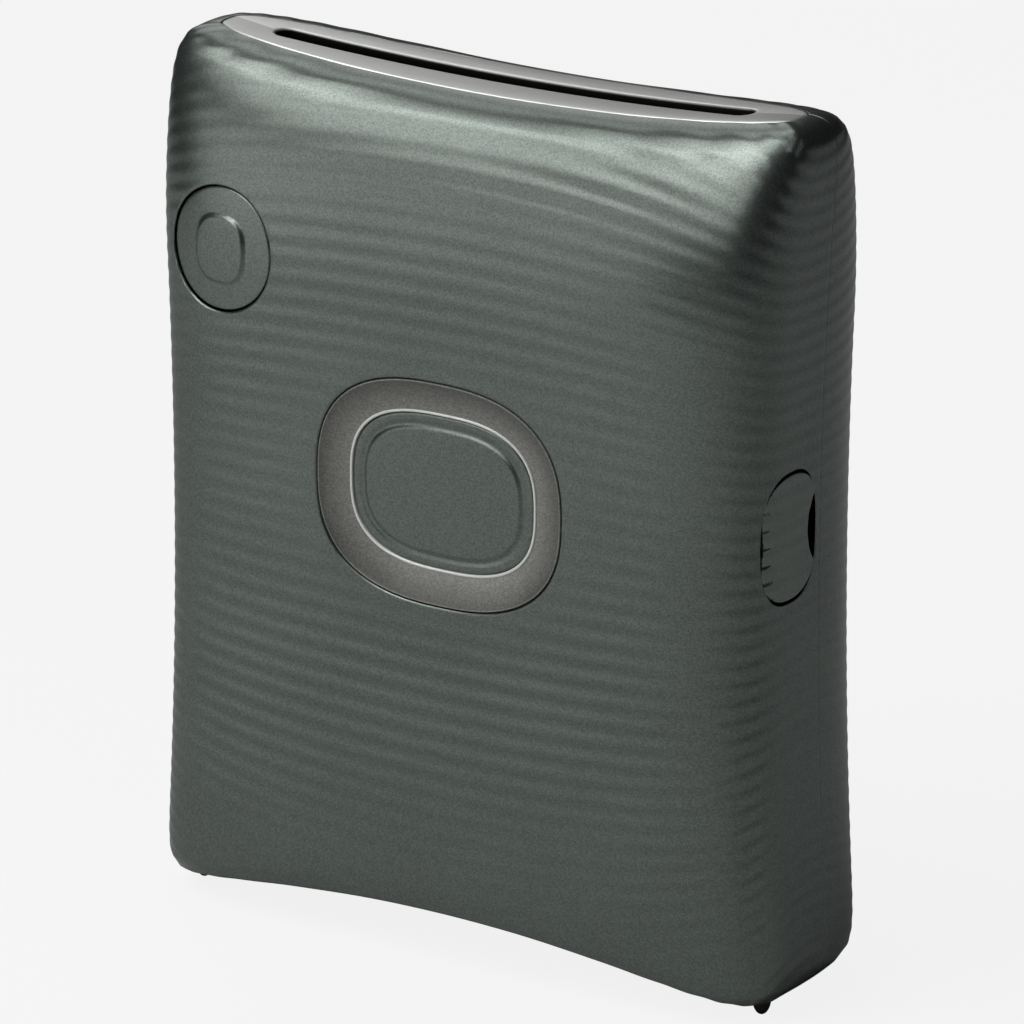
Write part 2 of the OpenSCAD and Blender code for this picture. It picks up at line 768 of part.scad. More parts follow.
module chassis() {
    inner = chamber_w / 2;
    slot_x = slot_l / 2 + 0.5;
    color([0.16, 0.17, 0.18]) difference() {
        union() {
            block([-chassis_x, floor_front, chassis_z], [chassis_x, chassis_rear, chassis_top]);
            for (x = bracket_lugs)
                block([x - lug_size[0] / 2, floor_front - lug_size[1], shelf_z - lug_size[2]],
                      [x + lug_size[0] / 2, floor_front, shelf_z]);
            for (p = board_posts) bar_y(p, post_r, board_y, floor_front);
            for (z = [chassis_z + 22, chassis_top - 22]) claw_guide(z);
        }
        block([-inner, floor_back, chassis_z + frame_wall], [inner, far, chassis_top - frame_wall]);
        block([-slot_x, film_y - 1, chassis_top - 3], [slot_x, film_y + 1.2, chassis_top + 3]);
        claw_groove();
        block([-chassis_x - 1, film_y - 0.8, chassis_z + 9],
              [0, film_y + 2.4, chassis_z + 13 + claw_travel]);
        for (p = frame_posts) {
            bar_y(p, screw_r + 0.1, floor_front - 1, floor_back + 1);
            bar_y(p, screw_head_r + 0.1, floor_back - screw_head_h, floor_back + 1);
        }
        for (p = board_posts) bar_y(p, screw_r, board_y - 1, floor_front + 1);
        for (x = bracket_lugs)
            translate([x, lug_y, shelf_z - 3.4]) cylinder(r = screw_r, h = 5);
        block([-inner + 8, floor_front - 1, chassis_z + 12],
              [inner - 30, floor_back + 1, chassis_z + 16]);
    }
}

// Guide on the left wall that the claw's strip slides through
module claw_guide(z) {
    block([-cheek_x - 2.4, film_y - 3, z - 3], [-chassis_x, film_y + 5, z + 3]);
}
module claw_groove() {
    block([-cheek_x - 1.2 - move_gap, film_y - 1.5 - move_gap, chassis_z - 1],
          [-chassis_x, film_y + 3.5 + move_gap, chassis_top + 1]);
}

module film_claw() {
    color([0.7, 0.7, 0.72]) {
        block([-cheek_x - 1.2, film_y - 1.5, chassis_z + 8], [-cheek_x, film_y + 3.5, chassis_top - 16]);
        block([-cheek_x - 0.5, film_y - 0.2, chassis_z + 10],
              [-chamber_w / 2 + 1.2, film_y + 1.8, chassis_z + 12]);
    }
}

module roller_bracket() {
    z0 = motor_at[1] - motor_r;
    color([0.72, 0.73, 0.75]) difference() {
        union() {
            for (s = [-1, 1])
                facing_side(s > 0 ? cheek_x : -cheek_x - sheet_t, s > 0 ? cheek_x + sheet_t : -cheek_x)
                    cheek_outline(s > 0 ? z0 : shelf_z);
            block([-cheek_x - sheet_t / 2, shelf_y[0], shelf_z],
                  [cheek_x + sheet_t / 2, shelf_y[1], shelf_z + sheet_t]);
        }
        for (y = roller_y) bar_x([y, roller_cz], shaft_r + bore_gap, -far, far);
        bar_x(motor_at, 1.6, 0, far);
        bar_x(idler_at, pin_r, 0, far);
        for (x = bracket_lugs)
            translate([x, lug_y, shelf_z - 1]) cylinder(r = screw_r + 0.1, h = 4);
    }
}

// Side plate of the bracket: a foot by the motor that widens round both rollers
module cheek_outline(z0) {
    edge = 2.6;
    polygon([[motor_at[0] - edge, z0], [motor_at[0] + 3.4, z0], [motor_at[0] + 3.4, roller_cz - 7],
             [roller_y[1] + edge, roller_cz - 4], [roller_y[1] + edge, roller_cz + edge],
             [roller_y[0] - edge, roller_cz + edge], [motor_at[0] - edge, roller_cz - 6]]);
}

module roller(i) {
    color([0.2, 0.2, 0.21]) {
        bar_x([roller_y[i], roller_cz], roller_r, -roller_l / 2, roller_l / 2);
        bar_x([roller_y[i], roller_cz], shaft_r, -cheek_x - sheet_t - 0.8, gear_x + gear_t);
    }
}

// Toothed wheel on an axis along X, with a round bore
module gear(at, teeth, phase, bore) {
    facing_side(gear_x, gear_x + gear_t) translate(at) difference() {
        polygon(gear_points(teeth, phase));
        circle(r = bore);
    }
}

module drive_gear() {
    color([0.85, 0.84, 0.8]) gear(drive_at, roller_teeth, 0, shaft_r);
}

module pinch_gear() {
    color([0.85, 0.84, 0.8]) gear([roller_y[1], roller_cz], roller_teeth, 180 / roller_teeth, shaft_r);
}

module idler_gear() {
    color([0.85, 0.84, 0.8]) gear(idler_at, idler_teeth, idler_phase, pin_r + bore_gap);
}

module idler_pin() {
    color([0.7, 0.7, 0.72]) {
        bar_x(idler_at, pin_r, cheek_x, gear_x + gear_t + 0.2);
        bar_x(idler_at, pin_r + 0.6, gear_x + gear_t + 0.2, gear_x + gear_t + 0.7);
    }
}

module motor() {
    color([0.6, 0.6, 0.62]) difference() {
        union() {
            bar_x(motor_at, motor_r, motor_end, cheek_x);
            bar_x(motor_at, 1.5, cheek_x, cheek_x + sheet_t);
        }
        bar_x(motor_at, 0.5 + bore_gap, cheek_x - 4, cheek_x + sheet_t + 1);
    }
}

module motor_pinion() {
    color([0.82, 0.68, 0.35]) {
        gear(motor_at, pinion_teeth, pinion_phase, 0.4);
        bar_x(motor_at, 0.5, cheek_x - 3.6, gear_x + gear_t + 0.3);
    }
}

module exposure_head() {
    x = cheek_x - head_in;
    z = shelf_z + sheet_t;
    color([0.13, 0.13, 0.14]) difference() {
        block([-x, shelf_y[0] + 0.2, z], [x, film_y - 1.2, z + head_h]);
        block([1 - x, film_y - 1.9, z + 1], [x - 1, film_y, z + head_h - 1]);
        for (lug = bracket_lugs)
            translate([lug, lug_y, z - 1]) cylinder(r = screw_head_r + 0.2, h = 2);
    }
}

module main_board() {
    color([0.1, 0.3, 0.16]) difference() {
        block([board_x[0], board_front, board_z[0]], [board_x[1], board_y, board_z[1]]);
        for (p = board_posts) bar_y(p, screw_r + 0.1, board_front - 1, board_y + 1);
    }
}

// Each chip has its place on the board, its width, height and thickness
module board_chips() {
    color([0.08, 0.08, 0.09]) for (c = chips)
        translate([board_x[0] + c[0], board_front - c[4], board_z[0] + c[1]]) cube([c[2], c[4], c[3]]);
}

// Socket of thin sheet with a tongue between its two slots
module usb_socket() {
    y = board_front;
    z = [port_cz - socket_size[2] / 2, port_cz + socket_size[2] / 2];
    x = socket_x - socket_size[0];
    t = 0.35;
    tongue = [1.25, 1.95];
    color([0.75, 0.75, 0.76]) difference() {
        block([x, y - socket_size[1], z[0]], [socket_x, y, z[1]]);
        block([x + 1, y - socket_size[1] + t, z[0] + t], [far, y - tongue[1], z[1] - t]);
        block([x + 1, y - tongue[0], z[0] + t], [far, y - t, z[1] - t]);
    }
}

module battery() {
    color([0.3, 0.33, 0.4])
        block([-battery_w / 2, floor_front - battery_t, battery_z],
              [battery_w / 2, floor_front, battery_z + battery_h]);
}

module light_board() {
    color([0.9, 0.9, 0.88]) difference() {
        block([-light_board_a, light_board_y, ring_cz - light_board_b],
              [light_board_a, light_board_y + board_t, ring_cz + light_board_b]);
        for (p = light_posts) bar_y(p, screw_r + 0.1, light_board_y - 1, light_board_y + board_t + 1);
    }
}

module ring_lamps() {
    count = 12;
    a = ring_a - ring_band / 2;
    b = ring_b - ring_band / 2;
    color([0.95, 0.93, 0.8]) for (i = [0:count - 1]) let (u = (i + 0.5) * 360 / count)
        translate([a * ray(u, ring_n) * cos(u), light_board_y, ring_cz + b * ray(u, ring_n) * sin(u)])
            block([-1, -0.8, -0.8], [1, 0, 0.8]);
}

module push_switch(at, y) {
    color([0.6, 0.6, 0.6]) {
        block([at[0] - switch_w / 2, y - switch_h + 0.5, at[1] - switch_w / 2],
              [at[0] + switch_w / 2, y, at[1] + switch_w / 2]);
        bar_y(at, 1.4, y - switch_h, y - switch_h + 0.5);
    }
}

module function_board() {
    at = func_board_at;
    color([0.1, 0.3, 0.16]) difference() {
        block([at[0] - func_board[0] / 2, func_board_y, at[1] - func_board[1] / 2 - 0.5],
              [at[0] + func_board[0] / 2, func_board_y + board_t, at[1] + func_board[1] / 2]);
        for (p = func_posts) bar_y(p, screw_r + 0.1, func_board_y - 1, func_board_y + board_t + 1);
    }
}

module case_screws() {
    color([0.65, 0.65, 0.67]) for (p = case_posts) screw_y(p, case_head_y, case_head_y - seam_y + 5.6);
}

module frame_screws() {
    color([0.65, 0.65, 0.67]) for (p = frame_posts) screw_y(p, floor_back - screw_head_h, 6);
}

module board_screws() {
    color([0.65, 0.65, 0.67]) {
        for (p = board_posts)
            translate([p[0], board_front, p[1]]) rotate([180, 0, 0]) screw_y([0, 0], 0, 3);
        for (p = func_posts) screw_y(p, func_board_y + board_t, 3);
        for (p = light_posts) screw_y(p, light_board_y + board_t, 3);
    }
}

module bracket_screws() {
    color([0.65, 0.65, 0.67]) for (x = bracket_lugs)
        translate([x, lug_y, shelf_z + sheet_t]) {
            translate([0, 0, -4]) cylinder(r = screw_r, h = 4);
            cylinder(r = screw_head_r, h = 0.8);
        }
}

front_shell();
rear_shell();
top_trim();
light_ring();
bright_rim();
power_button();
function_button();
port_cover();
port_pin();
film_door();
film_window();
door_lock();
door_pin(-1);  // door_pin_left
door_pin(1);  // door_pin_right
pressure_spring();
foot(-1, -1);  // foot_front_left
foot(1, -1);  // foot_front_right
foot(-1, 1);  // foot_rear_left
foot(1, 1);  // foot_rear_right
chassis();
film_claw();
roller_bracket();
roller(0);  // drive_roller
roller(1);  // pinch_roller
drive_gear();
pinch_gear();
idler_gear();
idler_pin();
motor();
motor_pinion();
exposure_head();
main_board();
board_chips();
usb_socket();
battery();
light_board();
ring_lamps();
push_switch([0, ring_cz], light_board_y);  // power_switch
function_board();
push_switch([func_cx, func_cz], func_board_y);  // function_switch
case_screws();
frame_screws();
board_screws();
bracket_screws();
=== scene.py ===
"""Compact photo printer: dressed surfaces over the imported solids, in metres, in the solids' own frame."""
import math

import bmesh
import bpy
import numpy as np
from bpy.props import FloatProperty, FloatVectorProperty, PointerProperty
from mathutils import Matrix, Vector


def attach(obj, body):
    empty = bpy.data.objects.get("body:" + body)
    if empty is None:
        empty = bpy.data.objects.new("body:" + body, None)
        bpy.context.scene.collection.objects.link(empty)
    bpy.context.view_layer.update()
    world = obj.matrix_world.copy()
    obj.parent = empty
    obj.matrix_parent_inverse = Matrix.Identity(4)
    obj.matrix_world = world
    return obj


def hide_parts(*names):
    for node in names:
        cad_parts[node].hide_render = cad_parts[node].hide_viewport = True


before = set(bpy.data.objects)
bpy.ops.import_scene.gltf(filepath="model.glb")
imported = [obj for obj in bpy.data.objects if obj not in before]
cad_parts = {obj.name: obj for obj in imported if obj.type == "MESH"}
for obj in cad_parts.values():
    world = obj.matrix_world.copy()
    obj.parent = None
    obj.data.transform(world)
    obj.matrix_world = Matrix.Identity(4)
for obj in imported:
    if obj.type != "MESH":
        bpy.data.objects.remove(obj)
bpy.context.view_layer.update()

bl_info = {
    "name": "Compact Photo Printer",
    "version": (1, 0, 0),
    "blender": (4, 5, 0),
    "location": "View3D > Sidebar > Photo Printer",
    "description": "Builds the rippled case, keys, trim, covers and finishes of a compact photo printer",
    "category": "Object",
}

# ---------------------------------------------------------------- measures, in millimetres from the frame's origin
MM = 0.001
SHARP = 35.0
WIDTH, HEIGHT = 97.76, 119.0
FRONT_DEPTH, REAR_DEPTH = 16.5, 24.5
FOOT = 1.0
WALL = 1.8
WAIST = 2.4
FRONT_LEAN, REAR_LEAN, LEAN_FROM = 7.4, 9.3, 0.5
TOP_DIP, BOTTOM_ARCH = 3.3, 5.3
# Powers of the superellipses: the higher, the squarer the plan or the edge.
FRONT_N, REAR_N, EDGE_N, TOP_N, BOTTOM_N = 6.2, 3.15, 25.0, 3.87, 19.4
MID_Y = -4.0
MID_Z = FOOT + HEIGHT / 2
SEAM_Y = -1.6
FRONT_Y = MID_Y - FRONT_DEPTH
RING_Z = 65.4
RING_A, RING_B, RING_N = 19.0, 15.2, 2.55
RIM_A, RIM_B, RIM_N, RIM_W = 14.55, 10.85, 2.75, 0.36
RING_SINK = 1.3
RING_GAP, KEY_GAP, TRIM_GAP = 0.12, 0.2, 0.1
FUNC_X, FUNC_Z, FUNC_R = -34.8, 92.85, 8.25
FUNC_PAD_A, FUNC_PAD_B, FUNC_PAD_N = 4.25, 4.75, 2.6
FUNC_STEM, STEM_R = (-34.5, 93.0), 2.4
POWER_STEM_END, FUNC_STEM_END = -17.65, -16.65
PORT_Y, PORT_Z, PORT_W, PORT_H, PORT_T, PORT_N = -8.75, 65.1, 11.7, 16.9, 1.3, 2.7
PORT_AXIS, BARREL_X, BARREL_R = (45.566, -13.9), 45.3, 0.66
PORT_GAP, PORT_LIP, PORT_SHADE = 0.38, 0.12, 0.1
NOTCH_R, NOTCH_D = 7.4, 1.5
TRIM_A, TRIM_Y = 44.3, -2.6
TRIM_FRONT, TRIM_REAR = (5.9, 5.0), (8.8, 1.9)
TRIM_BASE, TRIM_LIP = 114.0, 0.15
SLOT_L, SLOT_W, SLOT_Y, SLOT_BOW = 73.6, 3.5, -1.2, 2.0
DOOR_X, DOOR_FOOT, DOOR_LOW, DOOR_TOP, DOOR_CORNER = 42.0, 12.0, 14.0, 103.0, 1.2
HINGE_Y, HINGE_R, EAR_X, EAR_W = 18.4, 2.0, 16.5, 3.0
WINDOW_X, WINDOW_Z, WINDOW_W, WINDOW_H = -22, 67.4, 5, 16
LOCK_Z, LOCK_W, LOCK_H, LOCK_TRAVEL = 94.0, 13.0, 4.0, 2.5
SMALL_LIP = 0.25
SCREW_X, SCREW_Z, SCREW_POST_R, SCREW_HEAD_R = 42.4, 7.6, 2.2, 1.95
FRAME_POSTS = ((-35, 17.8), (35, 17.8), (-18, 94.4), (8, 94.4))
BOARD_POSTS = ((-25.7, 99.2), (-39, 83.4))
RING_POST_X, RING_POST_Z = 20.8, 17.3
GAP = 0.3
FOOT_FRONT, FOOT_REAR, FOOT_R = (44.6, -11.4), (41.6, 4.2), 1.25
FOOT_TIP, FOOT_TOP = 2.2, 3.0

# The ripples: where their lines are level, how far they arch, and shares of their depth against a place.
RIPPLE_Z = 61.5
ARCH_UPPER, ARCH_LOWER = 0.112, 0.13
BOW_Y, BOW_FRONT, BOW_REAR = -5, 0.0032, 0.0021
FACE_SHARE = ([0, 18, 30, 42, 60, 80, 95, 103, 109, 120], [0.35, 0.55, 2.2, 2.5, 1.3, 1.2, 1.6, 1.6, 0.8, 0.3])
CORNER_SHARE = ([0, 45, 70, 90, 120], [1.4, 1.4, 0.9, 0.45, 0.4])
FACE_FADE = ([-47, -38, 27, 40], [0, 1, 1, 0])

# Colours of painted shade, for the finishes that have one: in the dark of a gap or the slot, and on the shaded
# parts of the trim and the ring.
GAP_PAINTED_SHADE, TRIM_PAINTED_SHADE, RING_PAINTED_SHADE = (0.006, 0.0065, 0.006), (0.012, 0.012, 0.012), (0.012, 0.012, 0.011)

# The camera: angles in degrees, distance and aim in metres, focal length and optical middle in pixels.
VIEW_AZ, VIEW_EL, VIEW_DISTANCE, VIEW_AIM = 33.443, 18.555, 0.979416, (0, -0.004, 0.0605)
VIEW_FOCAL, VIEW_MIDDLE, VIEW_SIZE, SENSOR = 7442.6, (507.161, 498.098), 1024, 36.0

# Lamps: name, degrees round from the front to the right, degrees up, size in metres and power in watts.
LAMPS = (
    ("High Left Panel", -60, 60, 0.4, 1.34), ("Crown Panel", -42, 57, 0.3, 0.75),
    ("Key Panel", -42, 42, 0.3, 0.31), ("Top Panel", -42, 82, 0.4, 0.80),
    ("Upper Front Panel", -20, 50, 0.3, 1.03), ("Middle Panel", -30, 35, 0.3, 0.72),
    ("Front Panel", -12, 26, 0.4, 0.88), ("Low Front Panel", -38, 8, 0.4, 0.57),
    ("High Right Panel", 60, 65, 0.4, 0.31), ("Right Panel", 110, 30, 0.4, 0.10),
    ("Back Panel", -135, 30, 0.4, 0.62), ("High Back Panel", -135, 60, 0.4, 0.82),
)
# Lamps that brighten the floor only: name, distance from the object in metres and power in watts.
POOLS = (("Near Pool", 0.15, 0.021), ("Middle Pool", 0.3, 0.021), ("Far Pool", 0.5, 0.124))
POOL_AZ, POOL_HEIGHT, POOL_SIZE, POOL_SPREAD = -33, 0.45, 0.15, 50
FLOOR = 3000


# ---------------------------------------------------------------- the surface of the case
def power_radius(angle, n):
    """Radius of a superellipse of half size one: in each direction it makes the sum of the powers of both
    shares one."""
    return (np.abs(np.cos(angle)) ** n + np.abs(np.sin(angle)) ** n) ** (-1 / n)


def edge_bend(x, upper):
    """Dip of the top edge, or rise of the bottom edge: a parabola across the width, nothing at the sides."""
    return np.where(upper, TOP_DIP, BOTTOM_ARCH) * (1 - (2 * x / WIDTH) ** 2)


def level_of(x, z, off):
    """Level of a point between -1 at the foot and 1 at the top: the height is the level times half the
    height, less a bend of the top or bottom edge that grows with the level's fourth power; found by
    Newton's steps."""
    full = HEIGHT / 2 - off
    bend = edge_bend(x, z > MID_Z)
    v = (z - MID_Z) / (full - 0.5 * bend)
    for _ in range(8):
        a = np.abs(v) ** 3
        v = v - (v * (full - bend * a) - (z - MID_Z)) / (full - 4 * bend * a)
    return v


def section_at(v, side, off):
    """Half width and depth of the plan at a level, on the front (side below 0) or the rear: both shrink
    towards the top and the foot as a superellipse, the width is drawn in at the waist, and the depth
    leans in above the lean's start."""
    a = np.clip(np.abs(v), 0, 1)
    ex = (1 - a**EDGE_N) ** (1 / EDGE_N)
    ey = ex ** np.where(v > 0, EDGE_N / TOP_N, EDGE_N / BOTTOM_N)
    lean = np.clip((v - LEAN_FROM) / (1 - LEAN_FROM), 0, None) ** 2
    half = ex * (WIDTH / 2 - off - WAIST * (1 - v * v))
    front = FRONT_DEPTH - off - FRONT_LEAN * lean
    rear = REAR_DEPTH - off - REAR_LEAN * lean
    return half, ey * np.where(side < 0, front, rear)


def beyond_skin(x, y, z, off):
    """Above 0 outside the case and below 0 inside it: the plan at the point's level is a superellipse,
    squarer in front than behind."""
    bend = edge_bend(x, z > MID_Z)
    tall = HEIGHT / 2 - off - bend
    past = np.abs(z - MID_Z) >= tall
    v = level_of(x, MID_Z + np.clip(z - MID_Z, -tall, tall), off)
    half, depth = section_at(v, y - MID_Y, off)
    n = np.where(y < MID_Y, FRONT_N, REAR_N)
    tiny = 1e-9
    out = (np.abs(x) / (half + tiny)) ** n + (np.abs(y - MID_Y) / (depth + tiny)) ** n - 1
    return np.where(past, 1.0, out)


def cast(origin, along, off=0.0):
    """Points where rays from inside the case meet its skin, by halving the step 46 times."""
    origin, along = np.broadcast_arrays(np.asarray(origin, float), np.asarray(along, float))
    low = np.zeros(origin.shape[:-1])
    step = np.full(origin.shape[:-1], 110.0)
    for _ in range(46):
        step = step / 2
        p = origin + along * (low + step)[..., None]
        low = np.where(beyond_skin(p[..., 0], p[..., 1], p[..., 2], off) < 0, low + step, low)
    return origin + along * low[..., None]


def plan_y(x, y, z):
    """Depth of a point as if no part of the case leaned: its share of the section's depth."""
    v = level_of(x, z, 0.0)
    _, depth = section_at(v, y - MID_Y, 0.0)
    return np.clip((y - MID_Y) / (depth + 1e-9), -1, 1) * np.where(y < MID_Y, FRONT_DEPTH, REAR_DEPTH)


def ripple(x, y, z):
    """Depth of the soft ripples: a cosine of an arched height, whose lines spread apart over the middle
    of each face. On the front they are deepest below the middle, shallower at the upper right corner and
    round the light ring; elsewhere they are shallower in the middle of the height."""
    s = bpy.context.scene.printer_case
    yn = plan_y(x, y, z) + MID_Y
    bow = np.where(yn < BOW_Y, BOW_FRONT, BOW_REAR) * (yn - BOW_Y) ** 2 - BOW_FRONT * (BOW_Y - FRONT_Y) ** 2
    q = 1 - (x / 48) ** 2 + np.clip(bow, -0.8, 0.6)
    height = (z - RIPPLE_Z) / (1 + np.where(z > RIPPLE_Z, ARCH_UPPER, ARCH_LOWER) * q)
    wave = 0.5 - 0.5 * np.cos(2 * math.pi * height / s.ripple_pitch + 0.6)
    middle = 0.62 + 0.38 * np.clip(np.abs(z - 64) / 26, 0, 1) ** 1.4
    face = np.interp(z - 0.2 * x, *FACE_SHARE)
    corner = np.interp(z, *CORNER_SHARE)
    fade = np.interp(x, *FACE_FADE)
    front = np.where(x > 0, corner, middle) * (1 - fade) + face * fade
    turn = np.clip((-12 - y) / 4, 0, 1)
    middle = middle * (1 - turn) + front * turn
    near = ((np.abs(x) / RING_A) ** 2.4 + (np.abs(z - RING_Z) / RING_B) ** 2.4) ** (1 / 2.4) - 1
    ring = np.where(y < MID_Y, 0.25 + 0.75 * np.clip(near / 0.6, 0, 1), 1.0)
    return s.ripple_depth * wave * middle * ring


def on_skin(origin, along, depth, rippled=True):
    """Points a depth under the skin along rays from inside, under the ripples where there are any."""
    p = cast(origin, along)
    h = ripple(p[..., 0], p[..., 1], p[..., 2]) if rippled else 0.0
    return p - np.broadcast_to(np.asarray(along, float), p.shape) * (depth + h)[..., None]


def pillow(columns, rows, off, rippled):
    """Surface of the case on a grid of plan directions and levels, as in the solids: the plan is a
    superellipse whose size follows the level; the rows end at one point at the foot and one at the top."""
    t, u = np.meshgrid(rows, columns, indexing="ij")
    v = power_radius(t, EDGE_N) * np.sin(t)
    ru = power_radius(u, np.where(np.sin(u) < 0, FRONT_N, REAR_N))

    def points(inward):
        """Points of the whole grid, drawn in by a depth that may differ from point to point."""
        half, depth = section_at(v, np.sin(u), inward)
        x = half * ru * np.cos(u)
        y = MID_Y + ru * np.sin(u) * depth
        z = MID_Z + v * (HEIGHT / 2 - inward - edge_bend(x, t > 0) * np.abs(v) ** 3)
        return np.stack([x, y, z], -1)

    p = points(off)
    if rippled:
        p = points(off + ripple(p[..., 0], p[..., 1], p[..., 2]))
    return p


def spaced(curve, step, bend):
    """Values along a closed curve, given as (values, points), so that the points lie a step apart, and
    closer where the curve turns: a running length weighted by the turn, cut into equal parts."""
    values, points = curve
    d = np.diff(points, axis=0)
    length = np.linalg.norm(d, axis=1)
    angle = np.unwrap(np.arctan2(d[:, 1], d[:, 0]))
    turn = np.abs(np.gradient(angle))
    run = np.concatenate([[0], np.cumsum(length / step + turn / bend)])
    count = max(8, int(math.ceil(run[-1])))
    return np.interp(np.linspace(0, run[-1], count + 1), run, values)


def case_columns(low, high, fine, coarse):
    """Plan directions round the case, fine between two directions and coarse elsewhere."""
    def part(a, b, step):
        """Directions between two, a step apart along the plan's outline."""
        u = np.linspace(a, b, 3000)
        ru = power_radius(u, np.where(np.sin(u) < 0, FRONT_N, REAR_N))
        depth = np.where(np.sin(u) < 0, FRONT_DEPTH, REAR_DEPTH)
        xy = np.stack([WIDTH / 2 * ru * np.cos(u), ru * np.sin(u) * depth], -1)
        return spaced((u, xy), step, 0.07)[:-1]

    return np.concatenate([part(low, high, fine), part(high, low + 2 * math.pi, coarse)])


def case_rows(wall_step, cap_count):
    """Levels from the foot to the top: equal steps up the walls, then equal steps of depth over the
    rounded foot and top."""
    edge = 0.965
    count = int(edge * HEIGHT / wall_step)
    wall = np.arctan(np.linspace(-edge, edge, count))

    def cap(n):
        """Levels over one rounded end, whose depth shrinks with the given power."""
        ex0 = (1 - edge**EDGE_N) ** (1 / EDGE_N)
        power = EDGE_N / n
        w = np.linspace(ex0**power, 0.0, cap_count + 1)[1:-1]
        ex = w ** (1 / power)
        v = (1 - ex**EDGE_N) ** (1 / EDGE_N)
        return np.arctan2(v, ex)

    return np.concatenate([-cap(BOTTOM_N)[::-1], wall, cap(TOP_N)])


# ---------------------------------------------------------------- meshes
def grid_faces(rows, cols, wrap_rows=False):
    """Quads between neighbouring rows of a grid whose columns close on themselves, as whole arrays."""
    r = np.arange(rows if wrap_rows else rows - 1)
    c = np.arange(cols)
    a, b = np.meshgrid(r, c, indexing="ij")
    a2, b2 = (a + 1) % rows, (b + 1) % cols
    return np.stack([a * cols + b, a * cols + b2, a2 * cols + b2, a2 * cols + b], -1).reshape(-1, 4)


def new_mesh(name, points, faces):
    """Object at the origin from points in millimetres and face corner numbers, its faces turned outwards."""
    mesh = bpy.data.meshes.new(name)
    mesh.from_pydata((np.asarray(points) * MM).tolist(), [], faces)
    bm = bmesh.new()
    bm.from_mesh(mesh)
    bmesh.ops.recalc_face_normals(bm, faces=bm.faces)
    bm.to_mesh(mesh)
    bm.free()
    obj = bpy.data.objects.new(name, mesh)
    bpy.context.collection.objects.link(obj)
    smooth(obj)
    return obj


def smooth(obj):
    """Smooth shading, with sharp edges where faces meet at more than the sharp angle."""
    mesh = obj.data
    mesh.polygons.foreach_set("use_smooth", np.ones(len(mesh.polygons), bool))
    mesh.set_sharp_from_angle(angle=math.radians(SHARP))
    mesh.update()


def closed_rows(name, rows):
    """Closed piece from a stack of loops of equal count: quads between the loops and a fan to the middle
    of the first and of the last loop."""
    rows = np.asarray(rows)
    count, cols = rows.shape[:2]
    points = np.concatenate([rows.reshape(-1, 3), rows[0].mean(0)[None], rows[-1].mean(0)[None]])
    c = np.arange(cols)
    first, last = count * cols, count * cols + 1
    fan = np.stack([np.full(cols, first), (c + 1) % cols, c], -1)
    base = (count - 1) * cols
    end = np.stack([np.full(cols, last), base + c, base + (c + 1) % cols], -1)
    faces = grid_faces(count, cols).tolist() + fan.tolist() + end.tolist()
    return new_mesh(name, points, faces)


def closed_ring(name, rows):
    """Closed ring-shaped piece from loops whose last one joins the first again."""
    rows = np.asarray(rows)
    faces = grid_faces(rows.shape[0], rows.shape[1], True).tolist()
    return new_mesh(name, rows.reshape(-1, 3), faces)


def box(name, low, high):
    """Box between two corners, as a loop of four points at two heights."""
    (x0, y0, z0), (x1, y1, z1) = low, high
    loop = np.array([[x0, y0], [x1, y0], [x1, y1], [x0, y1]])
    points = np.concatenate([np.column_stack([loop, np.full(4, z)]) for z in (z0, z1)])
    return new_mesh(name, points, grid_faces(2, 4).tolist() + [[0, 1, 2, 3], [4, 5, 6, 7]])


def bar(name, axis, centre, radius, start, end, count=48):
    """Round bar along one axis: a circle at two places."""
    a = turns(count)
    i = "xyz".index(axis)
    others = [k for k in range(3) if k != i]
    rows = []
    for place in (start, end):
        p = np.zeros((count, 3))
        p[:, others[0]] = centre[0] + radius * np.cos(a)
        p[:, others[1]] = centre[1] + radius * np.sin(a)
        p[:, i] = place
        rows.append(p)
    caps = [list(range(count)), list(range(count, 2 * count))]
    return new_mesh(name, np.concatenate(rows), grid_faces(2, count).tolist() + caps)


def combine(target, tools, operation):
    """Cuts, joins or intersects a closed piece with others, one after the other, and bakes the result into
    its mesh; a tool that changes nothing stops the script."""
    for tool in tools:
        for solver in ("MANIFOLD", "EXACT"):
            mod = target.modifiers.new("Carve", "BOOLEAN")
            mod.operation = operation
            mod.solver = solver
            mod.object = tool
            graph = bpy.context.evaluated_depsgraph_get()
            mesh = bpy.data.meshes.new_from_object(target.evaluated_get(graph))
            target.modifiers.clear()
            if len(mesh.vertices) > 4 and len(mesh.polygons) != len(target.data.polygons):
                break
        else:
            raise RuntimeError(f"{tool.name} changed nothing in {target.name}")
        old = target.data
        target.data = mesh
        bpy.data.meshes.remove(old)
        bpy.data.objects.remove(tool)
    return target


def paint_shade_share(obj, values):
    """Share of painted shade at each point of a piece, for its finish to read."""
    layer = obj.data.attributes.new("shade", "FLOAT", "POINT")
    layer.data.foreach_set("value", np.asarray(values, np.float32))


def paint_shade_inside(obj, depth=0.3, end=None):
    """Paints shade on every point of a piece that lies deeper than a depth under the case's skin, and not past the
    end where there is one; round the port the painted shade starts higher up."""
    p = np.empty(len(obj.data.vertices) * 3)
    obj.data.vertices.foreach_get("co", p)
    x, y, z = (p.reshape(-1, 3) / MM).T
    port = (x > 40) & (np.abs(y - PORT_Y) < PORT_W / 2 + 1) & (np.abs(z - PORT_Z) < PORT_H / 2 + 1)
    under = beyond_skin(x, y, z, np.where(port, np.minimum(depth, PORT_SHADE), depth)) < 0
    if end is not None:
        under &= beyond_skin(x, y, z, end) > 0
    paint_shade_share(obj, under)


def finished(obj, body, nodes, material):
    """Gives a piece its shading, finish and body, and hides the solids it stands for."""
    obj.data.materials.clear()
    obj.data.materials.append(material)
    obj.data.polygons.foreach_set("material_index", np.zeros(len(obj.data.polygons), np.int32))
    smooth(obj)
    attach(obj, body)
    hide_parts(*nodes)


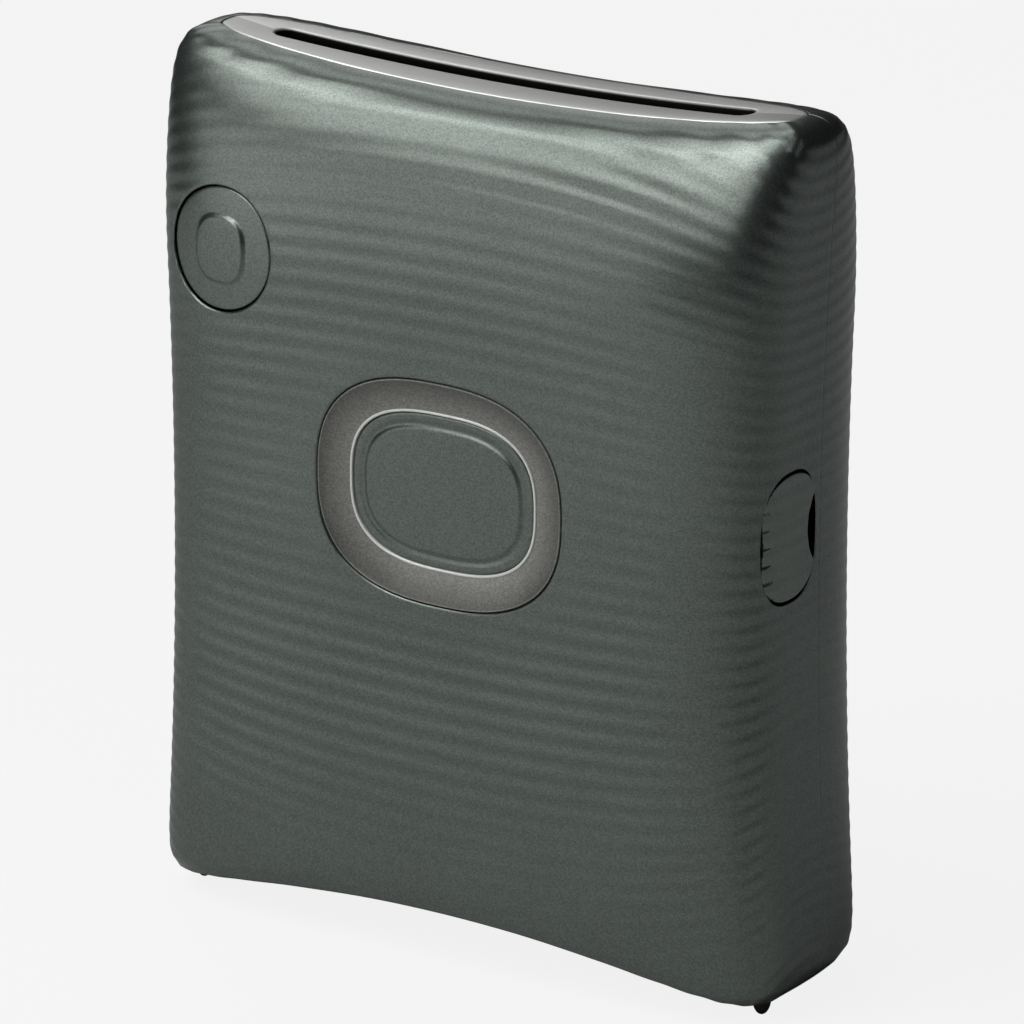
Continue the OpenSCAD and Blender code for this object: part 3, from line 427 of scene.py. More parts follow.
# ---------------------------------------------------------------- outlines and rows of loops
def turns(count):
    """Angles round an outline."""
    return np.linspace(0, 2 * math.pi, count, endpoint=False)


def oval(a, b, n, angles):
    """Superellipse: the radius in each direction makes the sum of the powers of both shares one."""
    r = power_radius(angles, n)
    return np.stack([a * r * np.cos(angles), b * r * np.sin(angles)], -1)


def grown(a, b, n, count):
    """Function that gives a superellipse of a count of points, widened by a margin."""
    return lambda m: oval(a + m, b + m, n, turns(count))


def oblong(w, h, angles):
    """Upright oblong with round ends: where each ray from its middle meets its straight sides or ends."""
    r, s = w / 2, h / 2 - w / 2
    c, k = np.cos(angles), np.sin(angles)
    straight = r / np.maximum(np.abs(c), 1e-9)
    b = s * np.abs(k)
    arc = b + np.sqrt(np.maximum(b * b - s * s + r * r, 0))
    reach = np.where(straight * np.abs(k) <= s, straight, arc)
    return np.stack([reach * c, reach * k], -1)


def lip(radius, sign):
    """Rounded edge of a wall that meets the skin: margins and depths of a quarter circle that opens
    outwards (sign 1, for a hole) or inwards (sign -1, for an insert)."""
    a = np.radians([0, 18, 36, 54, 72])
    return sign * radius * (1 - np.cos(a)), radius * (1 - np.sin(a))


def ease(k):
    """Soft step from 0 to 1: half of one less the cosine of half a turn."""
    return (1 - math.cos(math.pi * k)) / 2


def aimed(centre, axis, sign=1):
    """Function that gives the rays to the skin, along an axis from the inside out, through an outline's
    points round a centre in the other two axes."""
    i = "xyz".index(axis)
    across = [k for k in range(3) if k != i]

    def rays(outline):
        """Starts of the rays, one for each point, and their common direction."""
        origin = np.empty((len(outline), 3))
        origin[:, across] = outline + centre
        origin[:, i] = (0.0, MID_Y, MID_Z)[i]
        return origin, sign * np.eye(3)[i]

    return rays


place_ring = aimed((0.0, RING_Z), "y", -1)
place_func = aimed((FUNC_X, FUNC_Z), "y", -1)
place_port = aimed((PORT_Y, PORT_Z), "x")
place_trim = aimed((0.0, TRIM_Y), "z")
place_door = aimed((0.0, (DOOR_TOP + DOOR_FOOT) / 2), "y")
place_lock = aimed((0, LOCK_Z), "y")
place_window = aimed((WINDOW_X, WINDOW_Z), "y")


def depth_row(loop, depth, rippled=False):
    """One loop of points a depth under the skin."""
    origin, along = loop
    return on_skin(origin, along, np.full(len(origin), depth), rippled)


def plane_row(p, axis, value):
    """The same loop with one coordinate set to a plane."""
    q = np.array(p)
    q[:, "xyz".index(axis)] = value
    return q


def cutter(name, grow, place, gap, radius, deep, sign=1):
    """Closed tool that cuts an outline, widened by a gap, as an opening with a rounded lip: the wall's
    loops go from deep inside up to the lip's start, then flare along the lip and end above the skin; both
    ends are flat."""
    def row(margin, depth, rippled=True):
        """Loop of the outline, widened by a margin, at a depth."""
        return depth_row(place(grow(margin + gap)), depth, rippled)

    margins, depths = lip(radius, sign)
    low, high = row(0.0, deep, False), row(sign * radius * 1.02, -1.5, False)
    rows = [low, row(0.0, radius + 0.2)] + [row(m, d) for m, d in zip(margins, depths)]
    rows += [row(sign * radius * 1.02, -radius * 0.02 - 0.004), high]
    along = place(grow(gap))[1]
    i = int(np.argmax(np.abs(along)))
    k = np.sign(along[i])
    rows.insert(0, plane_row(low, "xyz"[i], k * ((low[:, i] * k).min() - 0.02)))
    rows.append(plane_row(high, "xyz"[i], k * ((high[:, i] * k).max() + 0.5)))
    return closed_rows(name, rows)


# ---------------------------------------------------------------- finishes
def feed(tree, target, values):
    """Gives inputs of a node, by name or number, their values: a socket is linked, anything else is set."""
    for key, value in values.items():
        if isinstance(value, bpy.types.NodeSocket):
            tree.links.new(value, target.inputs[key])
        else:
            target.inputs[key].default_value = value


def put(tree, kind, values, **settings):
    """New shader node with its settings and its inputs' values."""
    made = tree.nodes.new("ShaderNode" + kind)
    for key, value in settings.items():
        setattr(made, key, value)
    feed(tree, made, values)
    return made


def math_node(tree, operation, a, b=0.5, clamp=False):
    """Result of a math node on sockets or numbers."""
    return put(tree, "Math", {0: a, 1: b}, operation=operation, use_clamp=clamp).outputs[0]


def noise_node(tree, vector, scale, detail, rough=0.5):
    """Value of a noise texture on a vector."""
    values = {"Vector": vector, "Scale": scale, "Detail": detail, "Roughness": rough}
    return put(tree, "TexNoise", values).outputs[0]


def mixed(tree, share, a, b):
    """Colour between two, by a share."""
    return put(tree, "Mix", {"Factor": share, "A": a, "B": b}, data_type="RGBA").outputs["Result"]


def node_group(name, inputs, outputs):
    """New shader node group on a vector, with more inputs and outputs that are numbers, and its two end
    nodes."""
    tree = bpy.data.node_groups.new(name, "ShaderNodeTree")
    tree.interface.new_socket("Vector", in_out="INPUT", socket_type="NodeSocketVector")
    for label, value in inputs.items():
        socket = tree.interface.new_socket(label, in_out="INPUT", socket_type="NodeSocketFloat")
        socket.default_value = value
    for label in outputs:
        tree.interface.new_socket(label, in_out="OUTPUT", socket_type="NodeSocketFloat")
    return tree, tree.nodes.new("NodeGroupInput").outputs, tree.nodes.new("NodeGroupOutput")


def fleck_group():
    """Fine flecks of metallic paint: single cells that are lighter or darker, a soft drift of the tone
    over centimetres, and a grain height."""
    name = "Fleck And Grain"
    if name in bpy.data.node_groups:
        return bpy.data.node_groups[name]
    tree, start, end = node_group(name, {"Fleck Scale": 6000.0, "Fleck Share": 0.5, "Drift Scale": 30.0},
                                  ("Fleck", "Drift", "Grain"))
    cells = put(tree, "TexVoronoi", {"Vector": start["Vector"], "Scale": start["Fleck Scale"]})
    grey = put(tree, "SeparateColor", {0: cells.outputs["Color"]})
    centred = math_node(tree, "SUBTRACT", grey.outputs[0], 0.5)
    feed(tree, end, {"Fleck": math_node(tree, "MULTIPLY", centred, start["Fleck Share"]),
                     "Drift": noise_node(tree, start["Vector"], start["Drift Scale"], 2.0),
                     "Grain": noise_node(tree, start["Vector"], start["Fleck Scale"], 1.0)})
    return tree


def handling_group():
    """Marks of handling: broad soft smudges, and faint fine scratches where a stretched noise is near its
    middle, both from 0 to 1."""
    name = "Handling Marks"
    if name in bpy.data.node_groups:
        return bpy.data.node_groups[name]
    tree, start, end = node_group(name, {"Smudge Scale": 45.0, "Scratch Scale": 220.0}, ("Smudge", "Scratch"))
    smudge = noise_node(tree, start["Vector"], start["Smudge Scale"], 3.0, 0.55)
    stretch = put(tree, "Mapping", {"Vector": start["Vector"], "Rotation": (0.4, 0.9, 0.3),
                                    "Scale": (0.15, 0.6, 2.4)})
    line = noise_node(tree, stretch.outputs[0], start["Scratch Scale"], 4.0, 0.7)
    thin = math_node(tree, "ABSOLUTE", math_node(tree, "SUBTRACT", line, 0.5))
    scratch = math_node(tree, "SUBTRACT", 1.0, math_node(tree, "MULTIPLY", thin, 40.0), True)
    feed(tree, end, {"Smudge": smudge, "Scratch": scratch})
    return tree


def layered(name, dark, light, roughness, metallic, fleck_size=1.6e-4, fleck=0.5, grain=1e-5,
            rough_swing=0.06, coat=0.0, coat_rough=0.2, scratch=0.0, drift=30.0, specular=0.5,
            transmission=0.0, ior=1.5, deep=None):
    """Finish of a part: its colour moves between two tones by flecks and a slow drift, its roughness by
    smudges and scratches, and its grain is a fine bump. Where it has a deep colour, that is painted shade:
    the piece's shade attribute leads to it. Flecks and grain are in metres."""
    if name in bpy.data.materials:
        return bpy.data.materials[name]
    mat = bpy.data.materials.new(name)
    mat.use_nodes = True
    tree = mat.node_tree
    where = put(tree, "TexCoord", {}).outputs["Object"]
    flecks = put(tree, "Group", {"Vector": where, "Fleck Scale": 1 / fleck_size, "Fleck Share": fleck,
                                 "Drift Scale": drift}, node_tree=fleck_group()).outputs
    marks = put(tree, "Group", {"Vector": where}, node_tree=handling_group()).outputs
    slow = math_node(tree, "MULTIPLY", math_node(tree, "SUBTRACT", flecks["Drift"], 0.5), 0.6)
    tone = math_node(tree, "ADD", math_node(tree, "ADD", flecks["Fleck"], slow), 0.5, True)
    colour = mixed(tree, tone, (*dark, 1), (*light, 1))
    # Painted shade: the shade attribute mixes the colour towards the deep colour where a piece is marked.
    if deep:
        share = put(tree, "Attribute", {}, attribute_name="shade").outputs["Fac"]
        colour = mixed(tree, share, colour, (*deep, 1))
    swing = math_node(tree, "MULTIPLY", math_node(tree, "SUBTRACT", marks["Smudge"], 0.5), 2 * rough_swing)
    worn = math_node(tree, "MULTIPLY", marks["Scratch"], scratch)
    rough = math_node(tree, "ADD", math_node(tree, "ADD", swing, worn), roughness, True)
    bump = put(tree, "Bump", {"Strength": 1.0, "Distance": grain, "Height": flecks["Grain"]})
    feed(tree, tree.nodes["Principled BSDF"], {
        "Base Color": colour, "Metallic": metallic, "Roughness": rough, "IOR": ior,
        "Normal": bump.outputs[0], "Specular IOR Level": specular, "Coat Weight": coat,
        "Coat Roughness": coat_rough, "Transmission Weight": transmission})
    return mat


def whitened(tree, plain, white, share, end):
    """Blends a plain shader into a white one, by a share, for rays that the camera sends, also through
    clear parts, and leads it to the surface of an end node."""
    path = put(tree, "LightPath", {}).outputs
    seen = math_node(tree, "MAXIMUM", path["Is Camera Ray"], path["Is Transmission Ray"])
    factor = math_node(tree, "MULTIPLY", seen, share)
    mix = put(tree, "MixShader", {0: factor, 1: plain.outputs[0], 2: white.outputs[0]})
    feed(tree, tree.nodes[end], {"Surface": mix.outputs[0]})


def tones(colour, spread):
    """Two tones round a colour."""
    c = np.array(colour[:3])
    return tuple(c * (1 - spread)), tuple(np.clip(c * (1 + spread), 0, 1))


def case_paint():
    """Satin metallic paint of the case, the keys and the covers."""
    s = bpy.context.scene.printer_looks
    dark, light = tones(s.case_colour, 0.27)
    # Painted shade: the gap colour darkens the points that the shade attribute marks inside the case, the door and
    # their openings.
    return layered("Satin Paint", dark, light, s.case_roughness, s.case_metallic, fleck_size=1.7e-4,
                   fleck=0.8, grain=4e-6, rough_swing=0.02, scratch=0.01, deep=GAP_PAINTED_SHADE)


# ---------------------------------------------------------------- sizes and colours that a user may change
class CaseSizes(bpy.types.PropertyGroup):
    """Sizes of the case's surface and of its small edges, in millimetres."""
    ripple_pitch: FloatProperty(name="Ripple pitch", description="Distance between the ripples at the sides",
                                default=2.513, min=1.5, max=5.0)
    ripple_depth: FloatProperty(name="Ripple depth", description="Depth of the ripples",
                                default=0.055, min=0.0, max=0.4)
    lip_radius: FloatProperty(name="Lip radius", description="Radius of the edges round each opening",
                              default=0.3, min=0.1, max=0.6)
    row_step: FloatProperty(name="Row step", description="Height of one row of the case's grid",
                            default=0.33, min=0.25, max=2.0)


class Looks(bpy.types.PropertyGroup):
    """Colours and gloss of the main finishes."""
    case_colour: FloatVectorProperty(name="Case colour", description="Colour of the satin paint",
                                     subtype="COLOR", default=(0.170, 0.195, 0.178), min=0, max=1)
    case_roughness: FloatProperty(name="Case roughness", description="Roughness of the satin paint",
                                  default=0.29, min=0, max=1, subtype="FACTOR")
    case_metallic: FloatProperty(name="Case metallic", description="Metallic share of the satin paint",
                                 default=0.9, min=0, max=1, subtype="FACTOR")
    trim_colour: FloatVectorProperty(name="Trim colour", description="Colour of the silver trim",
                                     subtype="COLOR", default=(0.78, 0.785, 0.76), min=0, max=1)
    ring_colour: FloatVectorProperty(name="Ring colour", description="Colour of the smoked light ring",
                                     subtype="COLOR", default=(0.275, 0.28, 0.255), min=0, max=1)


# ---------------------------------------------------------------- pieces
def seam_cutter(name, side):
    """Tool that cuts the case at its seam with a rounded lip: loops round the outline of the case in the
    seam's plane, from inside out, then outwards and away from the kept half."""
    r, reach = 0.14, 40
    a = turns(900)
    along = np.stack([np.cos(a), np.zeros_like(a), np.sin(a)], -1)
    margins, depths = lip(r, 1)
    plane = SEAM_Y - 0.02 * side
    rows = []
    for m, d in [(0.0, 3.2), (0.0, 0.4), *zip(margins, depths), (r * 1.02, -0.01), (r * 1.02, -2.0)]:
        origin = np.tile([0.0, plane - side * m, MID_Z], (len(a), 1))
        rows.append(on_skin(origin, along, np.full(len(a), d), -1 < d < 1))
    rows.append(plane_row(rows[-1], "y", SEAM_Y + side * reach))
    return closed_rows(name, rows)


def case_solid(name, side):
    """Outer skin of the case as a closed piece, its grid fine on the front (side -1) or the rear (side 1)
    and a little past it, and coarse elsewhere."""
    s = bpy.context.scene.printer_case
    columns = case_columns(math.radians(90 * side - 104), math.radians(90 * side + 104), 0.9, 3.0)
    return closed_rows(name, pillow(columns, case_rows(s.row_step, 46), 0.0, True))


def cavity(name):
    """Inner surface of the case."""
    return closed_rows(name, pillow(turns(120), case_rows(2.5, 12), WALL, False))


ring_grow = grown(RING_A, RING_B, RING_N, 360)
rim_grow = grown(RIM_A, RIM_B, RIM_N, 360)
func_grow = grown(FUNC_R, FUNC_R, 2.0, 200)
port_grow = grown(PORT_W / 2, PORT_H / 2, PORT_N, 240)


def trim_grow(m):
    """Outline of the top trim: a superellipse that is flat in front and full behind."""
    a = turns(480) - 0.42 * np.sin(2 * turns(480))
    front = oval(TRIM_A + m, TRIM_FRONT[0] + m, TRIM_FRONT[1], a)
    rear = oval(TRIM_A + m, TRIM_REAR[0] + m, TRIM_REAR[1], a)
    return np.where(np.sin(a)[:, None] < 0, front, rear)


def slot_grow(m):
    """Outline of the film slot, with round ends, bowed a little along the trim."""
    outer = trim_grow(0.0)
    half = SLOT_L / 2 - SLOT_W / 2
    x = outer[:, 0] / TRIM_A * (SLOT_L / 2 + m)
    end = np.clip((np.abs(x) - half) / (SLOT_W / 2 + m), 0, 1)
    side = np.where(np.arange(len(x)) < len(x) / 2, 1, -1)
    y = (SLOT_W / 2 + m) * side * np.sqrt(1 - end**2)
    return np.stack([x, y + SLOT_Y - TRIM_Y - SLOT_BOW * (x / (SLOT_L / 2)) ** 2], -1)


def resample(loop, count):
    """Closed outline cut into a count of equal steps of length."""
    closed = np.concatenate([loop, loop[:1]])
    run = np.concatenate([[0], np.cumsum(np.linalg.norm(np.diff(closed, axis=0), axis=1))])
    at = np.linspace(0, run[-1], count, endpoint=False)
    return np.stack([np.interp(at, run, closed[:, i]) for i in (0, 1)], -1)


def door_grow(m):
    """Outline of the film door: an upright rectangle with a quarter circle at each corner."""
    w, h, r = DOOR_X + m, (DOOR_TOP - DOOR_FOOT) / 2 + m, DOOR_CORNER + max(m, -0.8)
    k = np.linspace(0, math.pi / 2, 9)
    c, s = np.cos(k), np.sin(k)
    corners = ((1, 1, c, s), (-1, 1, -s, c), (-1, -1, -c, -s), (1, -1, s, -c))
    arcs = [np.stack([i * (w - r) + p * r, j * (h - r) + q * r], -1) for i, j, p, q in corners]
    return resample(np.concatenate(arcs), 640)


def lock_grow(m):
    """Outline of the lock and of the room above it that it slides in: a rectangle."""
    a, low, high = LOCK_W / 2 + m, -LOCK_H / 2 - m, LOCK_H / 2 + LOCK_TRAVEL + m
    return resample(np.array([[a, low], [a, high], [-a, high], [-a, low]]), 160)


def window_grow(m):
    """Outline of the film window."""
    return oblong(WINDOW_W + 2 * m, WINDOW_H + 2 * m, turns(160))


class PRINTER_OT_case(bpy.types.Operator):
    """Front and rear halves of the rippled case, with rounded lips at every opening"""
    bl_idname = "printer.case"
    bl_label = "Case Halves"

    def execute(self, context):
        r = context.scene.printer_case.lip_radius
        front = self.half("front_half", -1)
        combine(front, [
            cutter("ring_hole", ring_grow, place_ring, RING_GAP, r, 4.0),
            cutter("func_hole", func_grow, place_func, KEY_GAP, r, 6.0),
            cutter("port_hole", port_grow, place_port, PORT_GAP, PORT_LIP, 2.2),
            cutter("trim_hole", trim_grow, place_trim, TRIM_GAP, TRIM_LIP, 7.0),
            bar("sweep", "z", (PORT_AXIS[0] - 0.5, PORT_AXIS[1]), 1.2, PORT_Z - 4.8, PORT_Z + 4.8),
            box("plug", (42.2, -13.3, PORT_Z - 5.1), (60, -9.1, PORT_Z + 5.1)),
            *self.pockets(-1)], "DIFFERENCE")
        rear = self.half("rear_half", 1)
        combine(rear, [cutter("trim_hole", trim_grow, place_trim, TRIM_GAP, TRIM_LIP, 7.0),
                       cutter("door_hole", door_grow, place_door, GAP, r, 14.0)], "DIFFERENCE")
        ears = []
        for k in (-1, 1):
            low, high = k * EAR_X - EAR_W / 2, k * EAR_X + EAR_W / 2
            ears.append(bar("ear", "x", (HINGE_Y, DOOR_LOW), HINGE_R - 0.1, low, high))
            ears.append(box("ear", (low, HINGE_Y - 1.9, 8.0), (high, HINGE_Y + 0.4, DOOR_LOW)))
        combine(rear, ears, "UNION")
        combine(rear, self.pockets(1), "DIFFERENCE")
        for half, node in ((front, "front_shell"), (rear, "rear_shell")):
            # Painted shade on every point deeper than 0.3 mm under the skin: the inside and the walls of the
            # openings.
            paint_shade_inside(half)
            finished(half, "housing", [node], case_paint())
        return {"FINISHED"}

    def half(self, name, side):
        """The skin of one half (side -1 the front, 1 the rear) less its inside, cut at the seam."""
        skin, hollow = case_solid(name, side), cavity("hollow")
        combine(hollow, self.posts(side), "DIFFERENCE")
        return combine(skin, [hollow, seam_cutter("seam", -side)], "DIFFERENCE")

    def posts(self, side):
        """Posts that stand on the inner wall of one half, as bars along y: two for the case screws, and in
        front those of the frame, the boards and the ring, with the pad round the port."""
        ends = (-24, SEAM_Y - 0.1) if side < 0 else (SEAM_Y + 0.1, 24)
        screws = [bar("post", "y", (k * SCREW_X, SCREW_Z), SCREW_POST_R, *ends, 24) for k in (-1, 1)]
        if side > 0:
            return screws
        places = [(x, z, 2.4, -7.4) for x, z in FRAME_POSTS]
        places += [(x, z, 2, -14.5) for x, z in BOARD_POSTS]
        places += [(i * RING_POST_X, RING_Z + k * RING_POST_Z, 2, -15.5) for i in (-1, 1) for k in (-1, 1)]
        pad = box("pad", (43.216, PORT_Y - 8.05, PORT_Z - 10.8), (60, PORT_Y + 7.05, PORT_Z + 10.8))
        return [bar("post", "y", (x, z), p, -24, end, 24) for x, z, p, end in places] + screws + [pad]

    def pockets(self, side):
        """Pockets of the feet of one half, and in the rear the bores of the case screws' heads."""
        x, y = FOOT_FRONT if side < 0 else FOOT_REAR
        made = [bar("foot", "z", (k * x, y), FOOT_R + 0.05, -1, 3.1, 40) for k in (-1, 1)]
        if side > 0:
            made += [bar("head", "y", (k * SCREW_X, SCREW_Z), SCREW_HEAD_R, 1.8, 40, 40) for k in (-1, 1)]
        return made


class PRINTER_OT_top_trim(bpy.types.Operator):
    """Silver lens round the film slot, with the slot's chute under it"""
    bl_idname = "printer.top_trim"
    bl_label = "Top Trim"

    def execute(self, context):
        s = context.scene.printer_looks
        outer = trim_grow(-0.3)
        count = len(outer)
        rows = []

        def row(outline, depth):
            """Adds the loop of an outline at a depth under the skin."""
            rows.append(depth_row(place_trim(outline), depth))

        for m, d in ((0.0, WALL), (0.0, 0.9), (0.0, 0.3), (-0.04, 0.16), (-0.13, 0.05), (-0.3, 0.0)):
            row(trim_grow(m), d)
        for k in (0.05, 0.12, 0.25, 0.4, 0.55, 0.7, 0.82, 0.92):
            row(outer * (1 - k) + slot_grow(0.35) * k, 0.0)
        for m, d in ((0.35, 0.0), (0.18, 0.04), (0.05, 0.14), (0.0, 0.32), (0.0, 0.9), (0.0, 1.8)):
            row(slot_grow(m), d)
        rows.append(plane_row(rows[-1], "z", TRIM_BASE))
        wide = depth_row(place_trim(slot_grow(0.9)), WALL)
        rows += [plane_row(wide, "z", TRIM_BASE), wide]
        # Painted shade: the rows down the slot's walls and under it take the full shade colour, and the row at its
        # edge 0.6 of it.
        inside = np.zeros(len(rows))
        inside[-6:] = 1.0
        inside[-7] = 0.6
        trim = closed_ring("top_trim_lens", rows)
        dark, light = tones(s.trim_colour, 0.05)
        share = np.repeat(inside[:, None], count, 1)
        # Painted shade: the front half of the band, from the rounded edge to the slot, is painted 0.38 of the way
        # to the shade colour, standing in for the darker reflection it gets.
        face = slice(5, 14)
        share[face, count // 2:] = 0.38
        paint_shade_share(trim, share.ravel())
        mat = layered("Satin Silver", dark, light, 0.34, 0.7, fleck_size=1.2e-4, grain=2e-6,
                      rough_swing=0.03, scratch=0.03, deep=TRIM_PAINTED_SHADE)
        finished(trim, "housing", ["top_trim"], mat)
        return {"FINISHED"}


class PRINTER_OT_ring(bpy.types.Operator):
    """Smoked light ring and the bright line inside it"""
    bl_idname = "printer.ring"
    bl_label = "Light Ring"

    def execute(self, context):
        rows, shares = [], []
        wall, back = FRONT_Y + WALL + 0.05, FRONT_Y + 3.0

        def row(outline, depth, share=0.0):
            """Adds the loop of an outline at a depth under the skin, with its share of painted shade."""
            rows.append(depth_row(place_ring(outline), depth))
            shares.append(share)

        def flat(outline, y):
            """Adds the loop of an outline in a plane across y, in full painted shade."""
            rows.append(plane_row(depth_row(place_ring(outline), 0.0), "y", y))
            shares.append(1.0)

        outer, inner = ring_grow(-0.3), rim_grow(0.0)
        for m, y in ((1.5, back), (1.5, wall), (0.0, wall)):
            flat(ring_grow(m), y)
        # Painted shade: the deep wall of the ring's edge takes all or part of the shade colour.
        for m, d, share in ((0.0, 0.9, 1.0), (0.0, 0.3, 0.6), (-0.03, 0.17, 0.0), (-0.09, 0.09, 0.0),
                            (-0.17, 0.07, 0.1), (-0.3, 0.13, 0.6)):
            row(ring_grow(m), d, share)
        # Painted shade: the band darkens towards its outer edge, from 0.62 of the shade colour to none at the rim,
        # standing in for the shade of its sloping surface.
        for k in np.linspace(0.05, 1.0, 16):
            row(outer * (1 - k) + inner * k, 0.13 + (RING_SINK - 0.13) * k**0.92, 0.62 * (1 - k) ** 1.1)
        flat(inner, back)
        band = closed_ring("ring_band", rows)
        paint_shade_share(band, np.repeat(shares, len(inner)))
        finished(band, "housing", ["light_ring"], ring_finish())
        rows.clear()
        top = RING_SINK - 0.16
        for m, d in ((0.0, 1.6), (0.0, top + 0.1), (-0.03, top + 0.04), (-0.1, top), (-RIM_W + 0.1, top),
                     (-RIM_W + 0.03, top + 0.04), (-RIM_W, top + 0.1), (-RIM_W, 1.6)):
            row(rim_grow(m), d)
        rows += [plane_row(rows[k], "y", back) for k in (-1, 0)]
        rim = closed_ring("rim_line", rows)
        mat = layered("Bright Rim", (0.86, 0.87, 0.85), (0.94, 0.95, 0.93), 0.25, 0.15, fleck=0.2,
                      grain=1e-6, rough_swing=0.03, scratch=0.02)
        finished(rim, "housing", ["bright_rim"], mat)
        return {"FINISHED"}


def ring_finish():
    """Smoked, slightly clear plastic over a speckled layer, with painted shade that darkens it towards its outer
    edge.
    """
    s = bpy.context.scene.printer_looks
    dark, light = tones(s.ring_colour, 0.28)
    return layered("Smoked Ring", dark, light, 0.34, 0.3, fleck_size=1.7e-4, fleck=1.0, grain=3e-6,
                   rough_swing=0.03, coat=0.3, coat_rough=0.15, scratch=0.02, deep=RING_PAINTED_SHADE)


class PRINTER_OT_power_key(bpy.types.Operator):
    """Power key inside the ring, with a soft oval step"""
    bl_idname = "printer.power_key"
    bl_label = "Power Key"

    def execute(self, context):
        edge = RIM_W + 0.12
        rows = []

        def row(m, depth, scale=1.0):
            """Adds the key's outline, drawn in by a margin and scaled, at a depth under the skin."""
            outline = oval(RIM_A - edge - m, RIM_B - edge - 0.93 * m, RIM_N, turns(360))
            rows.append(depth_row(place_ring(outline * scale), depth))

        row(0.0, 0.0)
        rows[0] = plane_row(rows[0], "y", FRONT_Y + 2.6)
        low, step, pad = RING_SINK + 0.02, 0.13, RING_SINK - 0.12
        for m, d in ((0, low + 0.3), (0, low + 0.16), (0.05, low + 0.06), (0.16, low), (0.4, low), (0.8, low)):
            row(m, d)
        for k in np.linspace(0.1, 1, 8):
            row(0.8 + 0.75 * k, low + step * ease(k))
        for k in np.linspace(0.1, 1, 10):
            row(1.55 + 0.8 * k, low + step - (low + step - pad) * ease(k))
        for scale in (0.92, 0.78, 0.6, 0.4, 0.2):
            row(2.35, pad, scale)
        key = closed_rows("power_key_cap", rows)
        stem = bar("stem", "y", (0.0, RING_Z), STEM_R, FRONT_Y + 2.0, POWER_STEM_END)
        combine(key, [stem], "UNION")
        finished(key, "power_key", ["power_button"], case_paint())
        return {"FINISHED"}


class PRINTER_OT_function_key(bpy.types.Operator):
    """Round function key with a bare ring and a soft recessed middle"""
    bl_idname = "printer.function_key"
    bl_label = "Function Key"

    def execute(self, context):
        rows = []
        disc = grown(FUNC_R, FUNC_R, 2.0, 240)
        pad = grown(FUNC_PAD_A, FUNC_PAD_B, FUNC_PAD_N, 240)

        def row(outline, depth):
            """Adds the loop of an outline at a depth under the skin."""
            rows.append(depth_row(place_func(outline), depth))

        row(disc(0) * 0.5, WALL)
        row(disc(0), WALL)
        for m, d in ((0, 0.72), (0, 0.6), (-0.05, 0.5), (-0.15, 0.43), (-0.3, 0.4), (-0.6, 0.4)):
            row(disc(m), d)
        for k in np.linspace(0.12, 1.0, 8):
            row(disc(-0.6) * (1 - k) + pad(0.1) * k, 0.4)
        for k in np.linspace(0.08, 1, 12):
            row(pad(0.1 - 0.75 * k), 0.4 - 0.36 * ease(k))
        for k in (0.85, 0.65, 0.42, 0.2):
            row(pad(-0.65) * k, 0.04 + 0.03 * (1 - k * k))
        key = closed_rows("function_key_cap", rows)
        stem = bar("stem", "y", FUNC_STEM, STEM_R, FRONT_Y + 1.0, FUNC_STEM_END)
        combine(key, [stem], "UNION")
        finished(key, "function_key", ["function_button"], case_paint())
        return {"FINISHED"}


class PRINTER_OT_port_flap(bpy.types.Operator):
    """Oblong cover over the charging socket, with a thumb notch and its hinge barrel"""
    bl_idname = "printer.port_flap"
    bl_label = "Port Cover"

    def execute(self, context):
        angles = turns(480)

        def outline(m):
            """Oval less the notch: where a ray from the middle meets the notch's circle first."""
            base = oval(PORT_W / 2 + m, PORT_H / 2 + m, PORT_N, angles)
            reach = np.linalg.norm(base, axis=1)
            c, k = np.cos(angles), np.sin(angles)
            far, radius = PORT_W / 2 + NOTCH_R - NOTCH_D, NOTCH_R - m
            root = (far * c) ** 2 - far * far + radius * radius
            hit = np.where((root > 0) & (c > 0), far * c - np.sqrt(np.maximum(root, 0)), 1e9)
            return np.stack([c, k], -1) * np.minimum(reach, hit)[:, None]

        rows = []

        def row(points, depth, rippled=True):
            """Adds the loop of an outline at a depth under the rippled or the plain skin."""
            rows.append(depth_row(place_port(points), depth, rippled))

        for m in (-5.2, -3.5, -1.8, -0.5, 0.0):
            row(outline(m) if m > -1 else outline(-0.5) * (1 + m / 6.5), PORT_T, False)
        for m, d in ((0, 0.3), (-0.01, 0.12), (-0.06, 0.04), (-0.14, 0.0)):
            row(outline(m), d)
        for k in np.linspace(0.02, 0.96, 18):
            row(outline(-0.14) * (1 - k), 0.0)
        flap = closed_rows("port_flap_cover", rows)
        barrel = bar("barrel", "z", (BARREL_X, PORT_AXIS[1]), BARREL_R, PORT_Z - 4.5, PORT_Z + 4.5)
        combine(flap, [barrel], "UNION")
        s = context.scene.printer_looks
        # Painted shade: a dark outline on the cover's edge walls, from 0.038 to 1 mm under the skin, for the shade
        # in the gap round it.
        paint_shade_inside(flap, 0.038, 1.0)
        dark, light = tones([c * 1.5 for c in s.case_colour], 0.2)
        mat = layered("Cover Paint", dark, light, 0.46, 0.35, fleck_size=1.7e-4, fleck=0.7, grain=4e-6,
                      rough_swing=0.03, deep=GAP_PAINTED_SHADE)
        finished(flap, "port_flap", ["port_cover"], mat)
        return {"FINISHED"}


